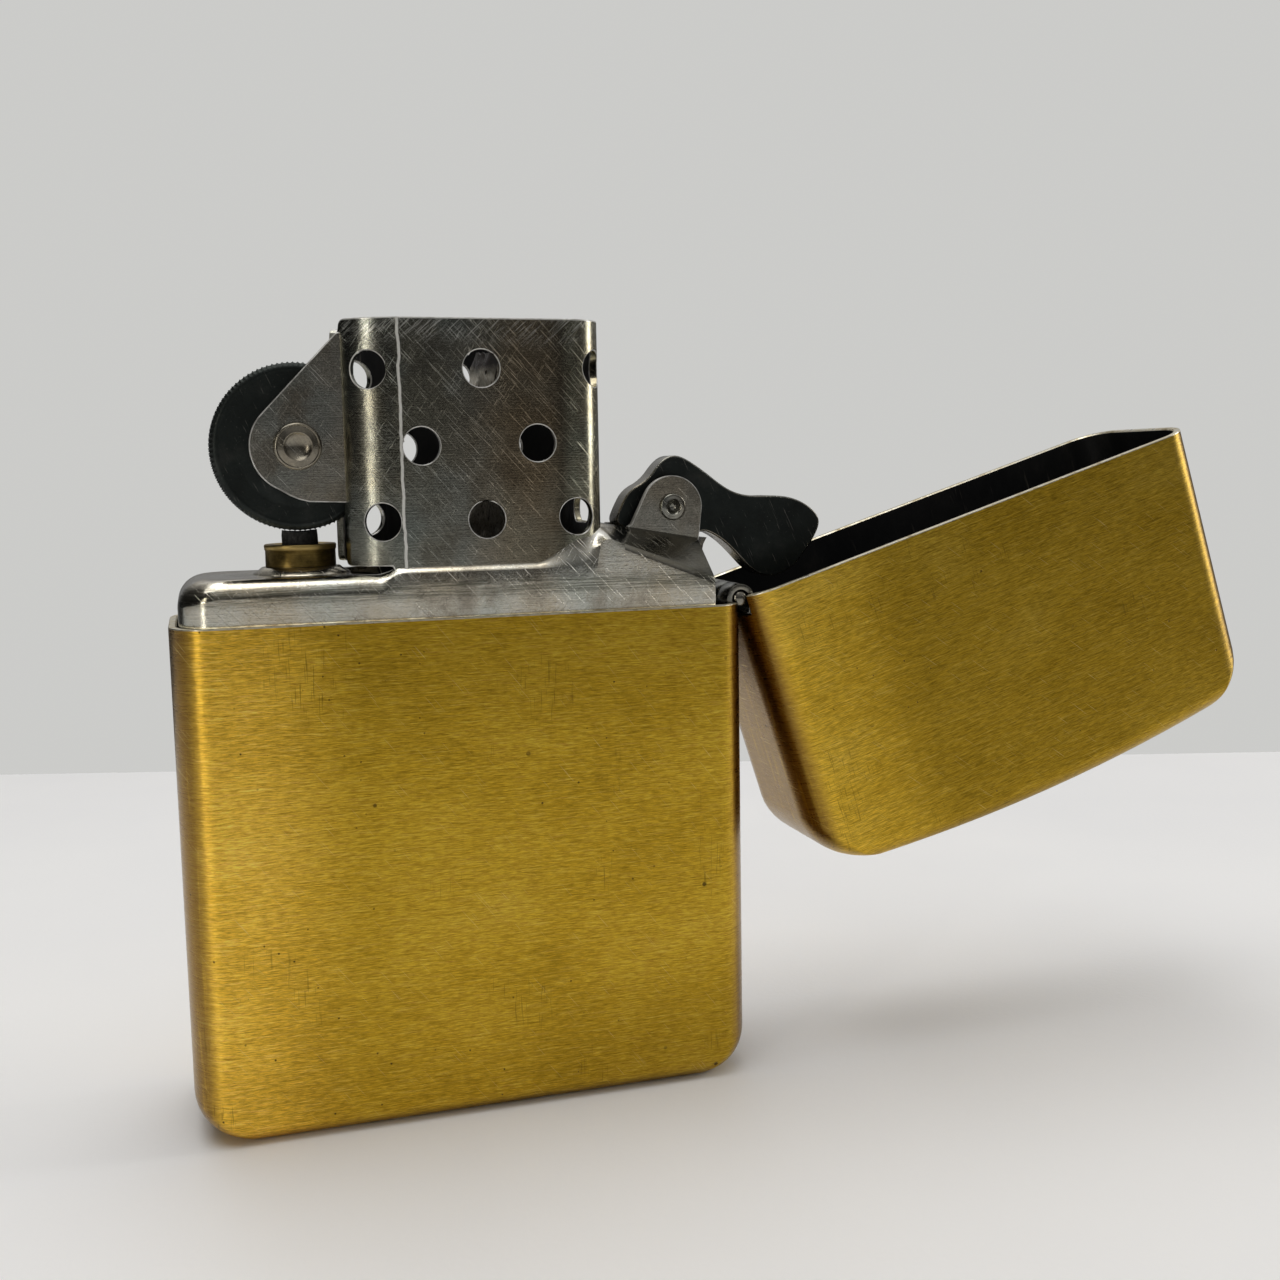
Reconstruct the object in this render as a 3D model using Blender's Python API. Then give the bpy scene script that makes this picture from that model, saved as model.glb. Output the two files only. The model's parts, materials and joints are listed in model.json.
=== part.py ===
"""Flip-top petrol lighter, shown open, as separate pieces on real joints.

Frame: metres, +Z up, origin on the resting face under the middle of the case.
+X points to the hinge side, -Y to the front. Driving sizes are in millimetres.
Lid pieces are drawn closed and turned about the hinge pin to the open position.
"""
import math

import bmesh
import bpy
from mathutils import Matrix, Vector

MM = 0.001

# Case and lid
CASE_WIDTH = 38.1
CASE_DEPTH = 12.8
CASE_RIM_Z = 33.58
SEAM_GAP = 0.15
LID_TOP_Z = 56.1
LID_SAG = 1.3
LID_END_ROUND = 4.0
WALL = 0.5
PLAN_RADIUS_X = 2.6
PLAN_RADIUS_Y = 3.2
END_ROUND = 3.2
FACE_ROUND = 1.6

# Lid hinge
HINGE_X = 18.85
HINGE_Z = 33.83
LID_OPEN_DEG = 162.4
BARREL_RADIUS = 1.05
HINGE_PIN_RADIUS = 0.47
HINGE_BORE_RADIUS = 0.52
HINGE_HALF_LENGTH = 5.0
HINGE_NOTCH = 1.35
LEAF_THICKNESS = 0.4
LEAF_OUTER_X = 18.4
LEAF_SEAT = 1.25
LEAF_HALF_LENGTH = 3.9
LEAF_LENGTH = 6.4
KNUCKLE_GAP = 0.06

# Insert: one drawn steel shell with tank, deck, chimney and ears
TANK_CENTRE_X = -0.38
TANK_HALF_X = 18.05
TANK_HALF_Y = 5.6
TANK_RADIUS_X = 2.3
TANK_RADIUS_Y = 3.0
TANK_BOTTOM_Z = 2.6
TANK_WALL = 0.4
DECK_Z = 36.45
DECK_END_ROUND = 1.8
DECK_FACE_ROUND = 1.2
CHIMNEY_TOP_Z = 52.7
CHIMNEY_HALF_Y = 5.35
CHIMNEY_END_X = 9.3
CHIMNEY_END_RADIUS = 2.4
CHIMNEY_CREASE_X = -4.3
CHIMNEY_CURL_LENGTH = 3.5
CHIMNEY_CURL_DEPTH = 2.45
CHIMNEY_WALL = 0.5
HOLE_RADIUS = 1.2
PANEL_HOLES = ((1.0, 49.5), (-3.0, 44.6), (4.6, 44.7), (1.1, 39.8))
CURL_HOLES = ((-6.25, -4.7, 32.0, 49.45), (-5.65, -5.0, 22.0, 39.8))
END_HOLES = ((8.35, -4.9, -40.0, 49.55), (7.2, -5.3, -14.0, 39.85))

# Striker wheel, its ears and rivet
STRIKER_X = -10.6
STRIKER_Z = 44.7
STRIKER_RADIUS = 5.45
STRIKER_HALF_WIDTH = 2.35
STRIKER_BORE = 0.85
EAR_OUTER_Y = 3.25
EAR_INNER_Y = 2.75
STRIKER_RIVET_RADIUS = 0.75

# Cam lever, its ears, rivet and leaf spring
CAM_X = 14.93
CAM_Z = 40.21
CAM_HALF_WIDTH = 1.0
CAM_BORE = 0.8
CAM_RIVET_RADIUS = 0.7
CAM_EAR_OUTER_Y = 2.0
CAM_EAR_INNER_Y = 1.45
CAM_EAR_RADIUS = 2.2
SHEET_END_X = 16.75
SPRING_THICKNESS = 0.3
SPRING_HALF_WIDTH = 0.8
SPRING_RIVET_RADIUS = 0.6
SPRING_RIVET_Z = (20.0, 24.5)
RIVET_LAP = 0.03
RIVET_CLEARANCE = 0.05

# Flint and its tube
FLINT_X = -10.5
FLINT_RADIUS = 1.17
TUBE_INNER_RADIUS = 1.3
TUBE_OUTER_RADIUS = 1.7
TUBE_BOTTOM_Z = 4.0
SCREW_RADIUS = 2.6
COLLAR_RADIUS = 2.35
COLLAR_TOP_Z = 38.4
TUBE_CLEARANCE = 0.05

# Wick and filling
WICK_X = 1.6
WICK_RADIUS = 1.8
WICK_TOP_Z = 50.8
WICK_BOTTOM_Z = 12.0
FELT_TOP_Z = 5.1

BRASS = ("aged_brass", (0.47, 0.34, 0.09), 0.42, 1.0)
BRIGHT_BRASS = ("tube_brass", (0.55, 0.40, 0.13), 0.38, 1.0)
STEEL = ("stainless", (0.50, 0.47, 0.43), 0.34, 1.0)
BLACK_STEEL = ("blackened_steel", (0.035, 0.037, 0.038), 0.45, 0.8)
FLINT_GREY = ("ferrocerium", (0.06, 0.06, 0.06), 0.7, 0.3)
COTTON = ("cotton", (0.82, 0.79, 0.72), 0.95, 0.0)
FELT = ("felt", (0.62, 0.60, 0.56), 0.95, 0.0)


def clear_scene():
    for item in list(bpy.data.objects):
        bpy.data.objects.remove(item, do_unlink=True)


def material(spec):
    name, colour, roughness, metallic = spec
    found = bpy.data.materials.get(name)
    if found:
        return found
    made = bpy.data.materials.new(name)
    made.use_nodes = True
    shader = made.node_tree.nodes["Principled BSDF"]
    shader.inputs["Base Color"].default_value = (*colour, 1.0)
    shader.inputs["Roughness"].default_value = roughness
    shader.inputs["Metallic"].default_value = metallic
    made.diffuse_color = (*colour, 1.0)
    return made


def add_object(name, bm, spec=None, pivot=(0.0, 0.0, 0.0), smooth=True):
    """Turn a bmesh in millimetres into an object with its origin at the pivot."""
    bmesh.ops.remove_doubles(bm, verts=bm.verts, dist=1e-5)
    bmesh.ops.translate(bm, verts=bm.verts, vec=-Vector(pivot))
    bmesh.ops.scale(bm, verts=bm.verts, vec=(MM, MM, MM))
    bmesh.ops.recalc_face_normals(bm, faces=bm.faces)
    mesh = bpy.data.meshes.new(name)
    bm.to_mesh(mesh)
    bm.free()
    item = bpy.data.objects.new(name, mesh)
    item.location = Vector(pivot) * MM
    bpy.context.scene.collection.objects.link(item)
    if spec:
        mesh.materials.append(material(spec))
    if smooth:
        mesh.shade_smooth()
        mesh.set_sharp_from_angle(angle=math.radians(35))
    return item


def guide(name, bm, pivot=(0.0, 0.0, 0.0)):
    """A hidden shape that a Boolean uses."""
    item = add_object(name, bm, pivot=pivot, smooth=False)
    item.hide_render = True
    item.display_type = "WIRE"
    return item


def combine(target, tool, operation):
    step = target.modifiers.new(tool.name, "BOOLEAN")
    step.object = tool
    step.operation = operation
    step.solver = "EXACT"


def cut(target, tool):
    combine(target, tool, "DIFFERENCE")


def join(target, tool):
    combine(target, tool, "UNION")


def arc(centre, radius, start_deg, end_deg, steps):
    points = []
    for i in range(steps + 1):
        angle = math.radians(start_deg + (end_deg - start_deg) * i / steps)
        points.append((centre[0] + radius * math.cos(angle), centre[1] + radius * math.sin(angle)))
    return points


def extrude_outline(points, low, high, axis="Z"):
    """Prism of a closed outline; axis Z takes (x, y) points, Y takes (x, z), X takes (y, z)."""
    place = {
        "Z": lambda p, h: (p[0], p[1], h),
        "Y": lambda p, h: (p[0], h, p[1]),
        "X": lambda p, h: (h, p[0], p[1]),
    }[axis]
    bm = bmesh.new()
    bottom = [bm.verts.new(place(p, low)) for p in points]
    top = [bm.verts.new(place(p, high)) for p in points]
    bm.faces.new(bottom)
    bm.faces.new(top)
    count = len(points)
    for i in range(count):
        j = (i + 1) % count
        bm.faces.new((bottom[i], bottom[j], top[j], top[i]))
    return bm


def box(low, high):
    outline = [(low[0], low[1]), (high[0], low[1]), (high[0], high[1]), (low[0], high[1])]
    return extrude_outline(outline, low[2], high[2])


def cylinder(x, y, radius, low, high, axis="Z", segments=24):
    outline = arc((x, y), radius, 0.0, 360.0, segments)[:-1]
    return extrude_outline(outline, low, high, axis)


def gather(shapes):
    """One bmesh of several shapes that stay apart."""
    whole = bmesh.new()
    for shape in shapes:
        copies = {vertex: whole.verts.new(vertex.co) for vertex in shape.verts}
        for face in shape.faces:
            whole.faces.new([copies[vertex] for vertex in face.verts])
        shape.free()
    return whole


def lathe(profile, segments, centre, axis="Z"):
    """Turn a closed (radius, height) profile about an axis through the centre."""
    bm = bmesh.new()
    turn = Matrix.Rotation(math.radians(-90), 4, "X") if axis == "Y" else Matrix.Identity(4)
    move = Matrix.Translation(centre) @ turn
    rings = []
    for i in range(segments):
        angle = 2.0 * math.pi * i / segments
        ring = []
        for radius, height in profile:
            point = Vector((radius * math.cos(angle), radius * math.sin(angle), height))
            ring.append(bm.verts.new(move @ point))
        rings.append(ring)
    count = len(profile)
    for i in range(segments):
        near = rings[i]
        far = rings[(i + 1) % segments]
        for k in range(count):
            n = (k + 1) % count
            bm.faces.new((near[k], far[k], far[n], near[n]))
    bmesh.ops.remove_doubles(bm, verts=bm.verts, dist=1e-5)
    return bm


def slab_half(half_x, half_y, radius_x, radius_y, corner_steps=6, long_steps=1):
    """Front half of a slab's plan with elliptical corners, from -X to +X.

    Each point also tells how far it faces along X: -1 at one end, 0 on the face, 1 at the other.
    """
    centre_x = half_x - radius_x
    centre_y = radius_y - half_y
    points = []
    for c, s in arc((0.0, 0.0), 1.0, 180.0, 270.0, corner_steps):
        points.append((radius_x * c - centre_x, centre_y + radius_y * s, c))
    for i in range(1, long_steps):
        points.append((-centre_x + 2.0 * centre_x * i / long_steps, -half_y, 0.0))
    for c, s in arc((0.0, 0.0), 1.0, 270.0, 360.0, corner_steps):
        points.append((centre_x + radius_x * c, centre_y + radius_y * s, c))
    return points


def slab_outline(half_x, half_y, radius_x, radius_y):
    front = [(x, y) for x, y, _ in slab_half(half_x, half_y, radius_x, radius_y)]
    return front + [(x, -y) for x, y in reversed(front)]


def shell_rings(plan, rim_z, crown_z, end_round, face_round, sag, steps=5, long_steps=6):
    """Rings of a rounded box wall from its open rim to the edge of its crown.

    The plan is (half_x, half_y, radius_x, radius_y). The crown is above or below the rim.
    It sags by the given amount at both ends, and its edge is rounded more at the ends
    than along the faces.
    """
    half_x, half_y, radius_x, radius_y = plan
    up = 1.0 if crown_z > rim_z else -1.0
    rim = slab_half(half_x, half_y, radius_x, radius_y, long_steps=long_steps)
    rings = [[(x, y, rim_z) for x, y, _ in rim]]
    for i in range(steps + 1):
        angle = math.pi / 2.0 * i / steps
        inward = 1.0 - math.cos(angle)
        half = slab_half(half_x - end_round * inward, half_y - face_round * inward,
                         radius_x - 0.5 * face_round * inward, radius_y - face_round * inward,
                         long_steps=long_steps)
        ring = []
        for x, y, facing in half:
            edge_round = face_round + (end_round - face_round) * abs(facing)
            drop = edge_round * (1.0 - math.sin(angle)) + sag * (x / half_x) ** 2
            ring.append((x, y, crown_z - up * drop))
        rings.append(ring)
    return rings


def cup(outer, inner):
    """Closed shell between an outer and an inner set of rings, open at their rims."""
    bm = bmesh.new()

    def full_ring(ring):
        front = [bm.verts.new(p) for p in ring]
        back = [bm.verts.new((x, -y, z)) for x, y, z in ring]
        return front, back

    outer_rings = [full_ring(r) for r in outer]
    inner_rings = [full_ring(r) for r in inner]

    def strip(first, second):
        loop_a = first[0] + first[1][::-1]
        loop_b = second[0] + second[1][::-1]
        count = len(loop_a)
        for i in range(count):
            j = (i + 1) % count
            bm.faces.new((loop_a[i], loop_a[j], loop_b[j], loop_b[i]))

    def crown(ring):
        front, back = ring
        for i in range(len(front) - 1):
            bm.faces.new((front[i], front[i + 1], back[i + 1], back[i]))

    for rings in (outer_rings, inner_rings):
        for first, second in zip(rings, rings[1:]):
            strip(first, second)
        crown(rings[-1])
    strip(outer_rings[0], inner_rings[0])
    return bm


def open_lid(item):
    item.rotation_euler = (0.0, math.radians(LID_OPEN_DEG), 0.0)


def shrunk(plan, amount):
    return tuple(size - amount for size in plan)


HINGE_PIVOT = (HINGE_X, 0.0, HINGE_Z)
HALF_X = CASE_WIDTH / 2.0
OUTER_PLAN = (HALF_X, CASE_DEPTH / 2.0, PLAN_RADIUS_X, PLAN_RADIUS_Y)
TANK_PLAN = (TANK_HALF_X, TANK_HALF_Y, TANK_RADIUS_X, TANK_RADIUS_Y)


def hinge_notch(name, rotated=False):
    """Window in the hinge wall that the barrel sits in."""
    low = (HALF_X - 2.4, -HINGE_HALF_LENGTH - 0.15, HINGE_Z - HINGE_NOTCH)
    high = (HALF_X + 1.0, HINGE_HALF_LENGTH + 0.15, HINGE_Z + HINGE_NOTCH)
    notch = guide(name, box(low, high), pivot=HINGE_PIVOT)
    if rotated:
        open_lid(notch)
    return notch


def make_case():
    outer = shell_rings(OUTER_PLAN, CASE_RIM_Z, 0.0, END_ROUND, FACE_ROUND, 0.0)
    inner = shell_rings(shrunk(OUTER_PLAN, WALL), CASE_RIM_Z, WALL, END_ROUND - WALL, FACE_ROUND - WALL, 0.0)
    case = add_object("case_bottom", cup(outer, inner), BRASS)
    cut(case, hinge_notch("case_notch"))


def make_lid():
    rim = CASE_RIM_Z + SEAM_GAP
    outer = shell_rings(OUTER_PLAN, rim, LID_TOP_Z, LID_END_ROUND, FACE_ROUND, LID_SAG)
    inner = shell_rings(shrunk(OUTER_PLAN, WALL), rim, LID_TOP_Z - WALL, LID_END_ROUND - WALL,
                        FACE_ROUND - WALL, LID_SAG)
    lid = add_object("lid_shell", cup(outer, inner), BRASS, pivot=HINGE_PIVOT)
    open_lid(lid)
    cut(lid, hinge_notch("lid_notch", rotated=True))


def knuckle_spans(kind):
    """Y ranges of the five knuckles; the case leaf has the odd ones, the lid leaf the others."""
    length = 2.0 * HINGE_HALF_LENGTH / 5.0
    spans = []
    for i in range(5):
        low = -HINGE_HALF_LENGTH + i * length
        if (i % 2 == 0) == (kind == "lower"):
            spans.append((low + KNUCKLE_GAP / 2.0, low + length - KNUCKLE_GAP / 2.0))
    return spans


def make_leaf(name, kind, up):
    """Leaf plate inside a wall, its tabs and the knuckles rolled round the pin."""
    inner_x = LEAF_OUTER_X - LEAF_THICKNESS
    near = HINGE_Z + up * LEAF_SEAT
    far = HINGE_Z + up * LEAF_LENGTH
    low = (inner_x, -LEAF_HALF_LENGTH, min(near, far))
    high = (LEAF_OUTER_X, LEAF_HALF_LENGTH, max(near, far))
    leaf = add_object(name, box(low, high), STEEL, pivot=HINGE_PIVOT)
    turned = [leaf]
    for number, (start, end) in enumerate(knuckle_spans(kind), 1):
        tab_end = near + up * 0.08
        tab = guide(f"{name}_tab_{number}",
                    box((inner_x, start, min(HINGE_Z, tab_end)), (LEAF_OUTER_X, end, max(HINGE_Z, tab_end))),
                    pivot=HINGE_PIVOT)
        barrel = guide(f"{name}_barrel_{number}",
                       cylinder(HINGE_X, HINGE_Z, BARREL_RADIUS, start, end, "Y"), pivot=HINGE_PIVOT)
        join(leaf, tab)
        join(leaf, barrel)
        turned += [tab, barrel]
    bore = guide(f"{name}_bore",
                 cylinder(HINGE_X, HINGE_Z, HINGE_BORE_RADIUS, -HINGE_HALF_LENGTH - 1.0,
                          HINGE_HALF_LENGTH + 1.0, "Y"), pivot=HINGE_PIVOT)
    cut(leaf, bore)
    turned.append(bore)
    if kind == "upper":
        for item in turned:
            open_lid(item)


def make_hinge_pin():
    add_object("hinge_pin", cylinder(HINGE_X, HINGE_Z, HINGE_PIN_RADIUS, -HINGE_HALF_LENGTH,
                                     HINGE_HALF_LENGTH, "Y"), STEEL)


def chimney_path(inset):
    """Front half of the chimney wall in plan, from the striker side to the cam side."""
    half_y = CHIMNEY_HALF_Y - inset
    curl_y = CHIMNEY_CURL_DEPTH - CHIMNEY_HALF_Y
    path = []
    for c, s in arc((0.0, 0.0), 1.0, 188.0, 270.0, 6):
        path.append((CHIMNEY_CREASE_X + (CHIMNEY_CURL_LENGTH - inset) * c,
                     curl_y + (CHIMNEY_CURL_DEPTH - inset) * s))
    end_radius = CHIMNEY_END_RADIUS - inset
    end_centre = (CHIMNEY_END_X - CHIMNEY_END_RADIUS, -half_y + end_radius)
    path += arc(end_centre, end_radius, 270.0, 360.0, 5)
    return path


def mirrored_loop(front):
    return front + [(x, -y) for x, y in reversed(front)]


def make_chimney_wall():
    """Strip of sheet that stands on the deck and is open towards the striker wheel."""
    outer = mirrored_loop(chimney_path(0.0))
    inner = mirrored_loop(chimney_path(CHIMNEY_WALL))
    return guide("chimney_wall", extrude_outline(outer + inner[::-1], DECK_Z - 0.3, CHIMNEY_TOP_Z))


def striker_ear_outline():
    """Ear plate in side view: flat towards the chimney, round about the striker rivet."""
    ear_radius = 3.0
    points = [(-7.5, 41.05), (-7.5, 51.9), (-7.9, 51.9)]
    points += arc((STRIKER_X, STRIKER_Z), ear_radius, 134.0, 252.0, 10)
    points.append((-10.6, 41.1))
    return points


def roof_height(x, low_edge):
    """Height of the cam shoulder above its low front crease or its high ear crease."""
    if low_edge:
        return 38.2 - 0.392 * (x - 9.6)
    return 39.3 - 0.179 * (x - 9.6)


def make_shoulder(name, inset, start_x, low_z, plan):
    """Sloping shoulder below the cam ears, cut to the tank's plan outline."""
    half_x, half_y = plan[:2]
    bm = bmesh.new()
    rings = []
    for x in (start_x, half_x + 1.0):
        low = roof_height(x, True) - inset
        high = roof_height(x, False) - inset
        section = [(-half_y - 0.5, low_z), (-half_y - 0.5, low), (-half_y, low), (-CAM_EAR_OUTER_Y, high),
                   (CAM_EAR_OUTER_Y, high), (half_y, low), (half_y + 0.5, low), (half_y + 0.5, low_z)]
        rings.append([bm.verts.new((x, y, z)) for y, z in section])
    bm.faces.new(rings[0])
    bm.faces.new(rings[1])
    count = len(rings[0])
    for i in range(count):
        j = (i + 1) % count
        bm.faces.new((rings[0][i], rings[0][j], rings[1][j], rings[1][i]))
    shoulder = guide(name, bm)
    outline = [(x + TANK_CENTRE_X, y) for x, y in slab_outline(*plan)]
    sides = guide(f"{name}_plan", extrude_outline(outline, low_z - 1.0, CAM_Z + 4.0))
    combine(shoulder, sides, "INTERSECT")
    return shoulder


def cam_ear_outline():
    points = [(10.6, 36.0), (10.9, 38.6), (11.92, 38.93)]
    points += arc((CAM_X, CAM_Z), CAM_EAR_RADIUS, 150.0, 0.0, 10)
    points += [(SHEET_END_X + 0.2, 38.4), (SHEET_END_X + 0.2, 36.0)]
    return points


def insert_holes():
    """Air holes of the chimney, rivet holes of both ear pairs and the flint tube's hole."""
    holes = []
    for x, z in PANEL_HOLES:
        holes.append(cylinder(x, z, HOLE_RADIUS, -8.0, 8.0, "Y", 16))
    for x, y, turn_deg, z in CURL_HOLES + END_HOLES:
        for side in (1.0, -1.0):
            hole = cylinder(0.0, 0.0, HOLE_RADIUS, -1.4, 1.4, "Y", 16)
            place = Matrix.Translation((x, side * y, z))
            place @= Matrix.Rotation(math.radians(-side * turn_deg), 4, "Z")
            bmesh.ops.transform(hole, matrix=place, verts=hole.verts)
            holes.append(hole)
    holes.append(cylinder(STRIKER_X, STRIKER_Z, STRIKER_RIVET_RADIUS + RIVET_CLEARANCE, -5.0, 5.0, "Y", 20))
    holes.append(cylinder(CAM_X, CAM_Z, CAM_RIVET_RADIUS + RIVET_CLEARANCE, -5.0, 5.0, "Y", 20))
    holes.append(cylinder(FLINT_X, 0.0, TUBE_OUTER_RADIUS + TUBE_CLEARANCE, 35.0, 38.5))
    for z in SPRING_RIVET_Z:
        holes.append(cylinder(0.0, z, SPRING_RIVET_RADIUS + RIVET_CLEARANCE, 15.0, 19.0, "X", 16))
    return holes


def make_insert():
    """Tank, deck, chimney and ears: one piece of drawn and folded stainless sheet."""
    outer = shell_rings(TANK_PLAN, TANK_BOTTOM_Z, DECK_Z, DECK_END_ROUND, DECK_FACE_ROUND, 0.0,
                        steps=4, long_steps=1)
    inner_y = TANK_HALF_Y - TANK_WALL
    inner = shell_rings(shrunk(TANK_PLAN, TANK_WALL), TANK_BOTTOM_Z, DECK_Z - TANK_WALL,
                        DECK_END_ROUND - TANK_WALL, DECK_FACE_ROUND - TANK_WALL, 0.0, steps=4, long_steps=1)
    tank = cup(outer, inner)
    bmesh.ops.translate(tank, verts=tank.verts, vec=(TANK_CENTRE_X, 0.0, 0.0))
    insert = add_object("insert_body", tank, STEEL)
    shoulder_start = 9.0
    room = guide("shoulder_room", box((shoulder_start + 0.3, -8.0, CASE_RIM_Z - 0.2), (20.0, 8.0, 45.0)))
    cut(insert, room)
    foot_z = CASE_RIM_Z - 0.5
    lap = 0.02
    outside = make_shoulder("shoulder_outside", 0.0, shoulder_start, foot_z, shrunk(TANK_PLAN, -lap))
    join(insert, outside)
    join(insert, make_chimney_wall())
    flange = lathe([(0.0, DECK_Z - 0.2), (3.1, DECK_Z - 0.2), (2.55, DECK_Z + 0.45), (0.0, DECK_Z + 0.45)],
                   24, (FLINT_X, 0.0, 0.0))
    join(insert, guide("flint_flange", flange))
    for side in (-1.0, 1.0):
        y_low, y_high = sorted((side * EAR_INNER_Y, side * EAR_OUTER_Y))
        ear = extrude_outline(striker_ear_outline(), y_low, y_high, "Y")
        join(insert, guide(f"striker_ear_{int(side)}", ear))
    inside = make_shoulder("shoulder_inside", TANK_WALL * 1.1, CHIMNEY_END_X, foot_z - 1.0,
                           shrunk(TANK_PLAN, TANK_WALL + lap))
    cut(insert, inside)
    under_deck = box((shoulder_start - 0.5, lap - inner_y, foot_z - 1.1),
                     (CHIMNEY_END_X + 0.5, inner_y - lap, DECK_Z - TANK_WALL - lap))
    cut(insert, guide("under_deck", under_deck))
    for side in (-1.0, 1.0):
        y_low, y_high = sorted((side * CAM_EAR_INNER_Y, side * CAM_EAR_OUTER_Y))
        ear = extrude_outline(cam_ear_outline(), y_low, y_high, "Y")
        join(insert, guide(f"cam_ear_{int(side)}", ear))
    slot = box((10.4, -CAM_EAR_INNER_Y, 32.6), (19.0, CAM_EAR_INNER_Y, 45.0))
    cut(insert, guide("cam_slot", slot))
    cut(insert, guide("hinge_side_trim", box((SHEET_END_X, -8.0, CASE_RIM_Z - 0.3), (20.0, 8.0, 45.0))))
    chimney_inside = mirrored_loop(chimney_path(CHIMNEY_WALL))
    cut(insert, guide("chimney_inside", extrude_outline(chimney_inside, DECK_Z - 2.0, CHIMNEY_TOP_Z + 1.0)))
    cut(insert, guide("drills", gather(insert_holes())))


def make_inner_plate():
    """Plate under the deck that closes the chimney foot and holds the tube and the wick."""
    low = (-16.2, -4.6, DECK_Z - 1.1)
    high = (9.7, 4.6, DECK_Z - 0.7)
    plate = add_object("inner_plate", box(low, high), STEEL)
    cut(plate, guide("plate_tube_hole", cylinder(FLINT_X, 0.0, TUBE_OUTER_RADIUS + TUBE_CLEARANCE, 35.0, 37.0)))
    cut(plate, guide("plate_wick_hole", cylinder(WICK_X, 0.0, WICK_RADIUS + TUBE_CLEARANCE, 35.0, 37.0)))


def make_flint_tube():
    profile = [(TUBE_INNER_RADIUS, TUBE_BOTTOM_Z), (TUBE_OUTER_RADIUS, TUBE_BOTTOM_Z),
               (TUBE_OUTER_RADIUS, DECK_Z + 0.4), (TUBE_INNER_RADIUS, DECK_Z + 0.4)]
    add_object("flint_tube", lathe(profile, 24, (FLINT_X, 0.0, 0.0)), BRIGHT_BRASS)
    foot = DECK_Z + 0.48
    collar = [(TUBE_INNER_RADIUS, foot), (COLLAR_RADIUS, foot), (COLLAR_RADIUS, COLLAR_TOP_Z - 0.2),
              (COLLAR_RADIUS - 0.2, COLLAR_TOP_Z), (TUBE_INNER_RADIUS + 0.15, COLLAR_TOP_Z),
              (TUBE_INNER_RADIUS, COLLAR_TOP_Z - 0.15)]
    add_object("flint_tube_collar", lathe(collar, 28, (FLINT_X, 0.0, 0.0)), BRIGHT_BRASS)


def make_flint_train():
    """Flint, the plug under it, the coil spring and the screw that closes the tube."""
    wheel_gap = 0.06
    flint_length = 4.6
    top = STRIKER_Z - STRIKER_RADIUS - wheel_gap
    flint_low = top - flint_length
    flint_pivot = (FLINT_X, 0.0, flint_low)
    add_object("flint", cylinder(FLINT_X, 0.0, FLINT_RADIUS, flint_low, top, segments=20), FLINT_GREY,
               pivot=flint_pivot)
    tip_low = flint_low - 3.1
    tip_high = flint_low - 0.05
    stem = 0.55
    head = 1.1
    tip = [(0.0, tip_low), (stem, tip_low), (stem, tip_low + 1.0), (head, tip_low + 1.2),
           (head, tip_high), (0.0, tip_high)]
    add_object("flint_spring_tip", lathe(tip, 16, (FLINT_X, 0.0, 0.0)), BRIGHT_BRASS, pivot=flint_pivot)
    screw_head_z = TANK_BOTTOM_Z + 0.1
    screw_neck_z = TUBE_BOTTOM_Z - 0.2
    screw_top_z = 7.4
    shank = TUBE_INNER_RADIUS - 0.06
    screw = [(0.0, screw_head_z), (SCREW_RADIUS - 0.2, screw_head_z), (SCREW_RADIUS, screw_head_z + 0.2),
             (SCREW_RADIUS, screw_neck_z), (shank, screw_neck_z), (shank, screw_top_z), (0.0, screw_top_z)]
    item = add_object("flint_screw", lathe(screw, 24, (FLINT_X, 0.0, 0.0)), BRIGHT_BRASS)
    slot_half = 0.4
    slot_low = (FLINT_X - 3.0, -slot_half, screw_head_z - 1.0)
    slot_high = (FLINT_X + 3.0, slot_half, screw_head_z + 0.45)
    cut(item, guide("screw_slot", box(slot_low, slot_high)))
    make_coil("flint_spring", screw_top_z + 0.3, tip_low + 0.5, turns=17)


def make_coil(name, low, high, turns):
    """Compression spring round the plug's stem, as one closed wire."""
    wire = 0.17
    mean_radius = 0.86
    per_turn = 10
    bm = bmesh.new()
    rings = []
    for i in range(turns * per_turn + 1):
        angle = 2.0 * math.pi * i / per_turn
        z = low + wire + (high - low - 2.0 * wire) * i / (turns * per_turn)
        ring = []
        for k in range(4):
            around = math.pi / 2.0 * k
            radius = mean_radius + wire * math.cos(around)
            point = (FLINT_X + radius * math.cos(angle), radius * math.sin(angle),
                     z + wire * math.sin(around))
            ring.append(bm.verts.new(point))
        rings.append(ring)
    for first, second in zip(rings, rings[1:]):
        for k in range(4):
            n = (k + 1) % 4
            bm.faces.new((first[k], first[n], second[n], second[k]))
    bm.faces.new(rings[0])
    bm.faces.new(rings[-1])
    add_object(name, bm, STEEL)


def rivet_profile(shank, grip, head, height, dimple):
    """Closed half profile of a tubular rivet along its axis, with a rolled head at each end."""
    top = grip + height
    half = [(shank, grip), (head, grip), (head - 0.15, top - 0.08), (head - 0.35, top),
            (dimple, top - 0.1), (0.0, top - 0.22)]
    low_half = [(r, -z) for r, z in reversed(half)]
    return low_half + half


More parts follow.
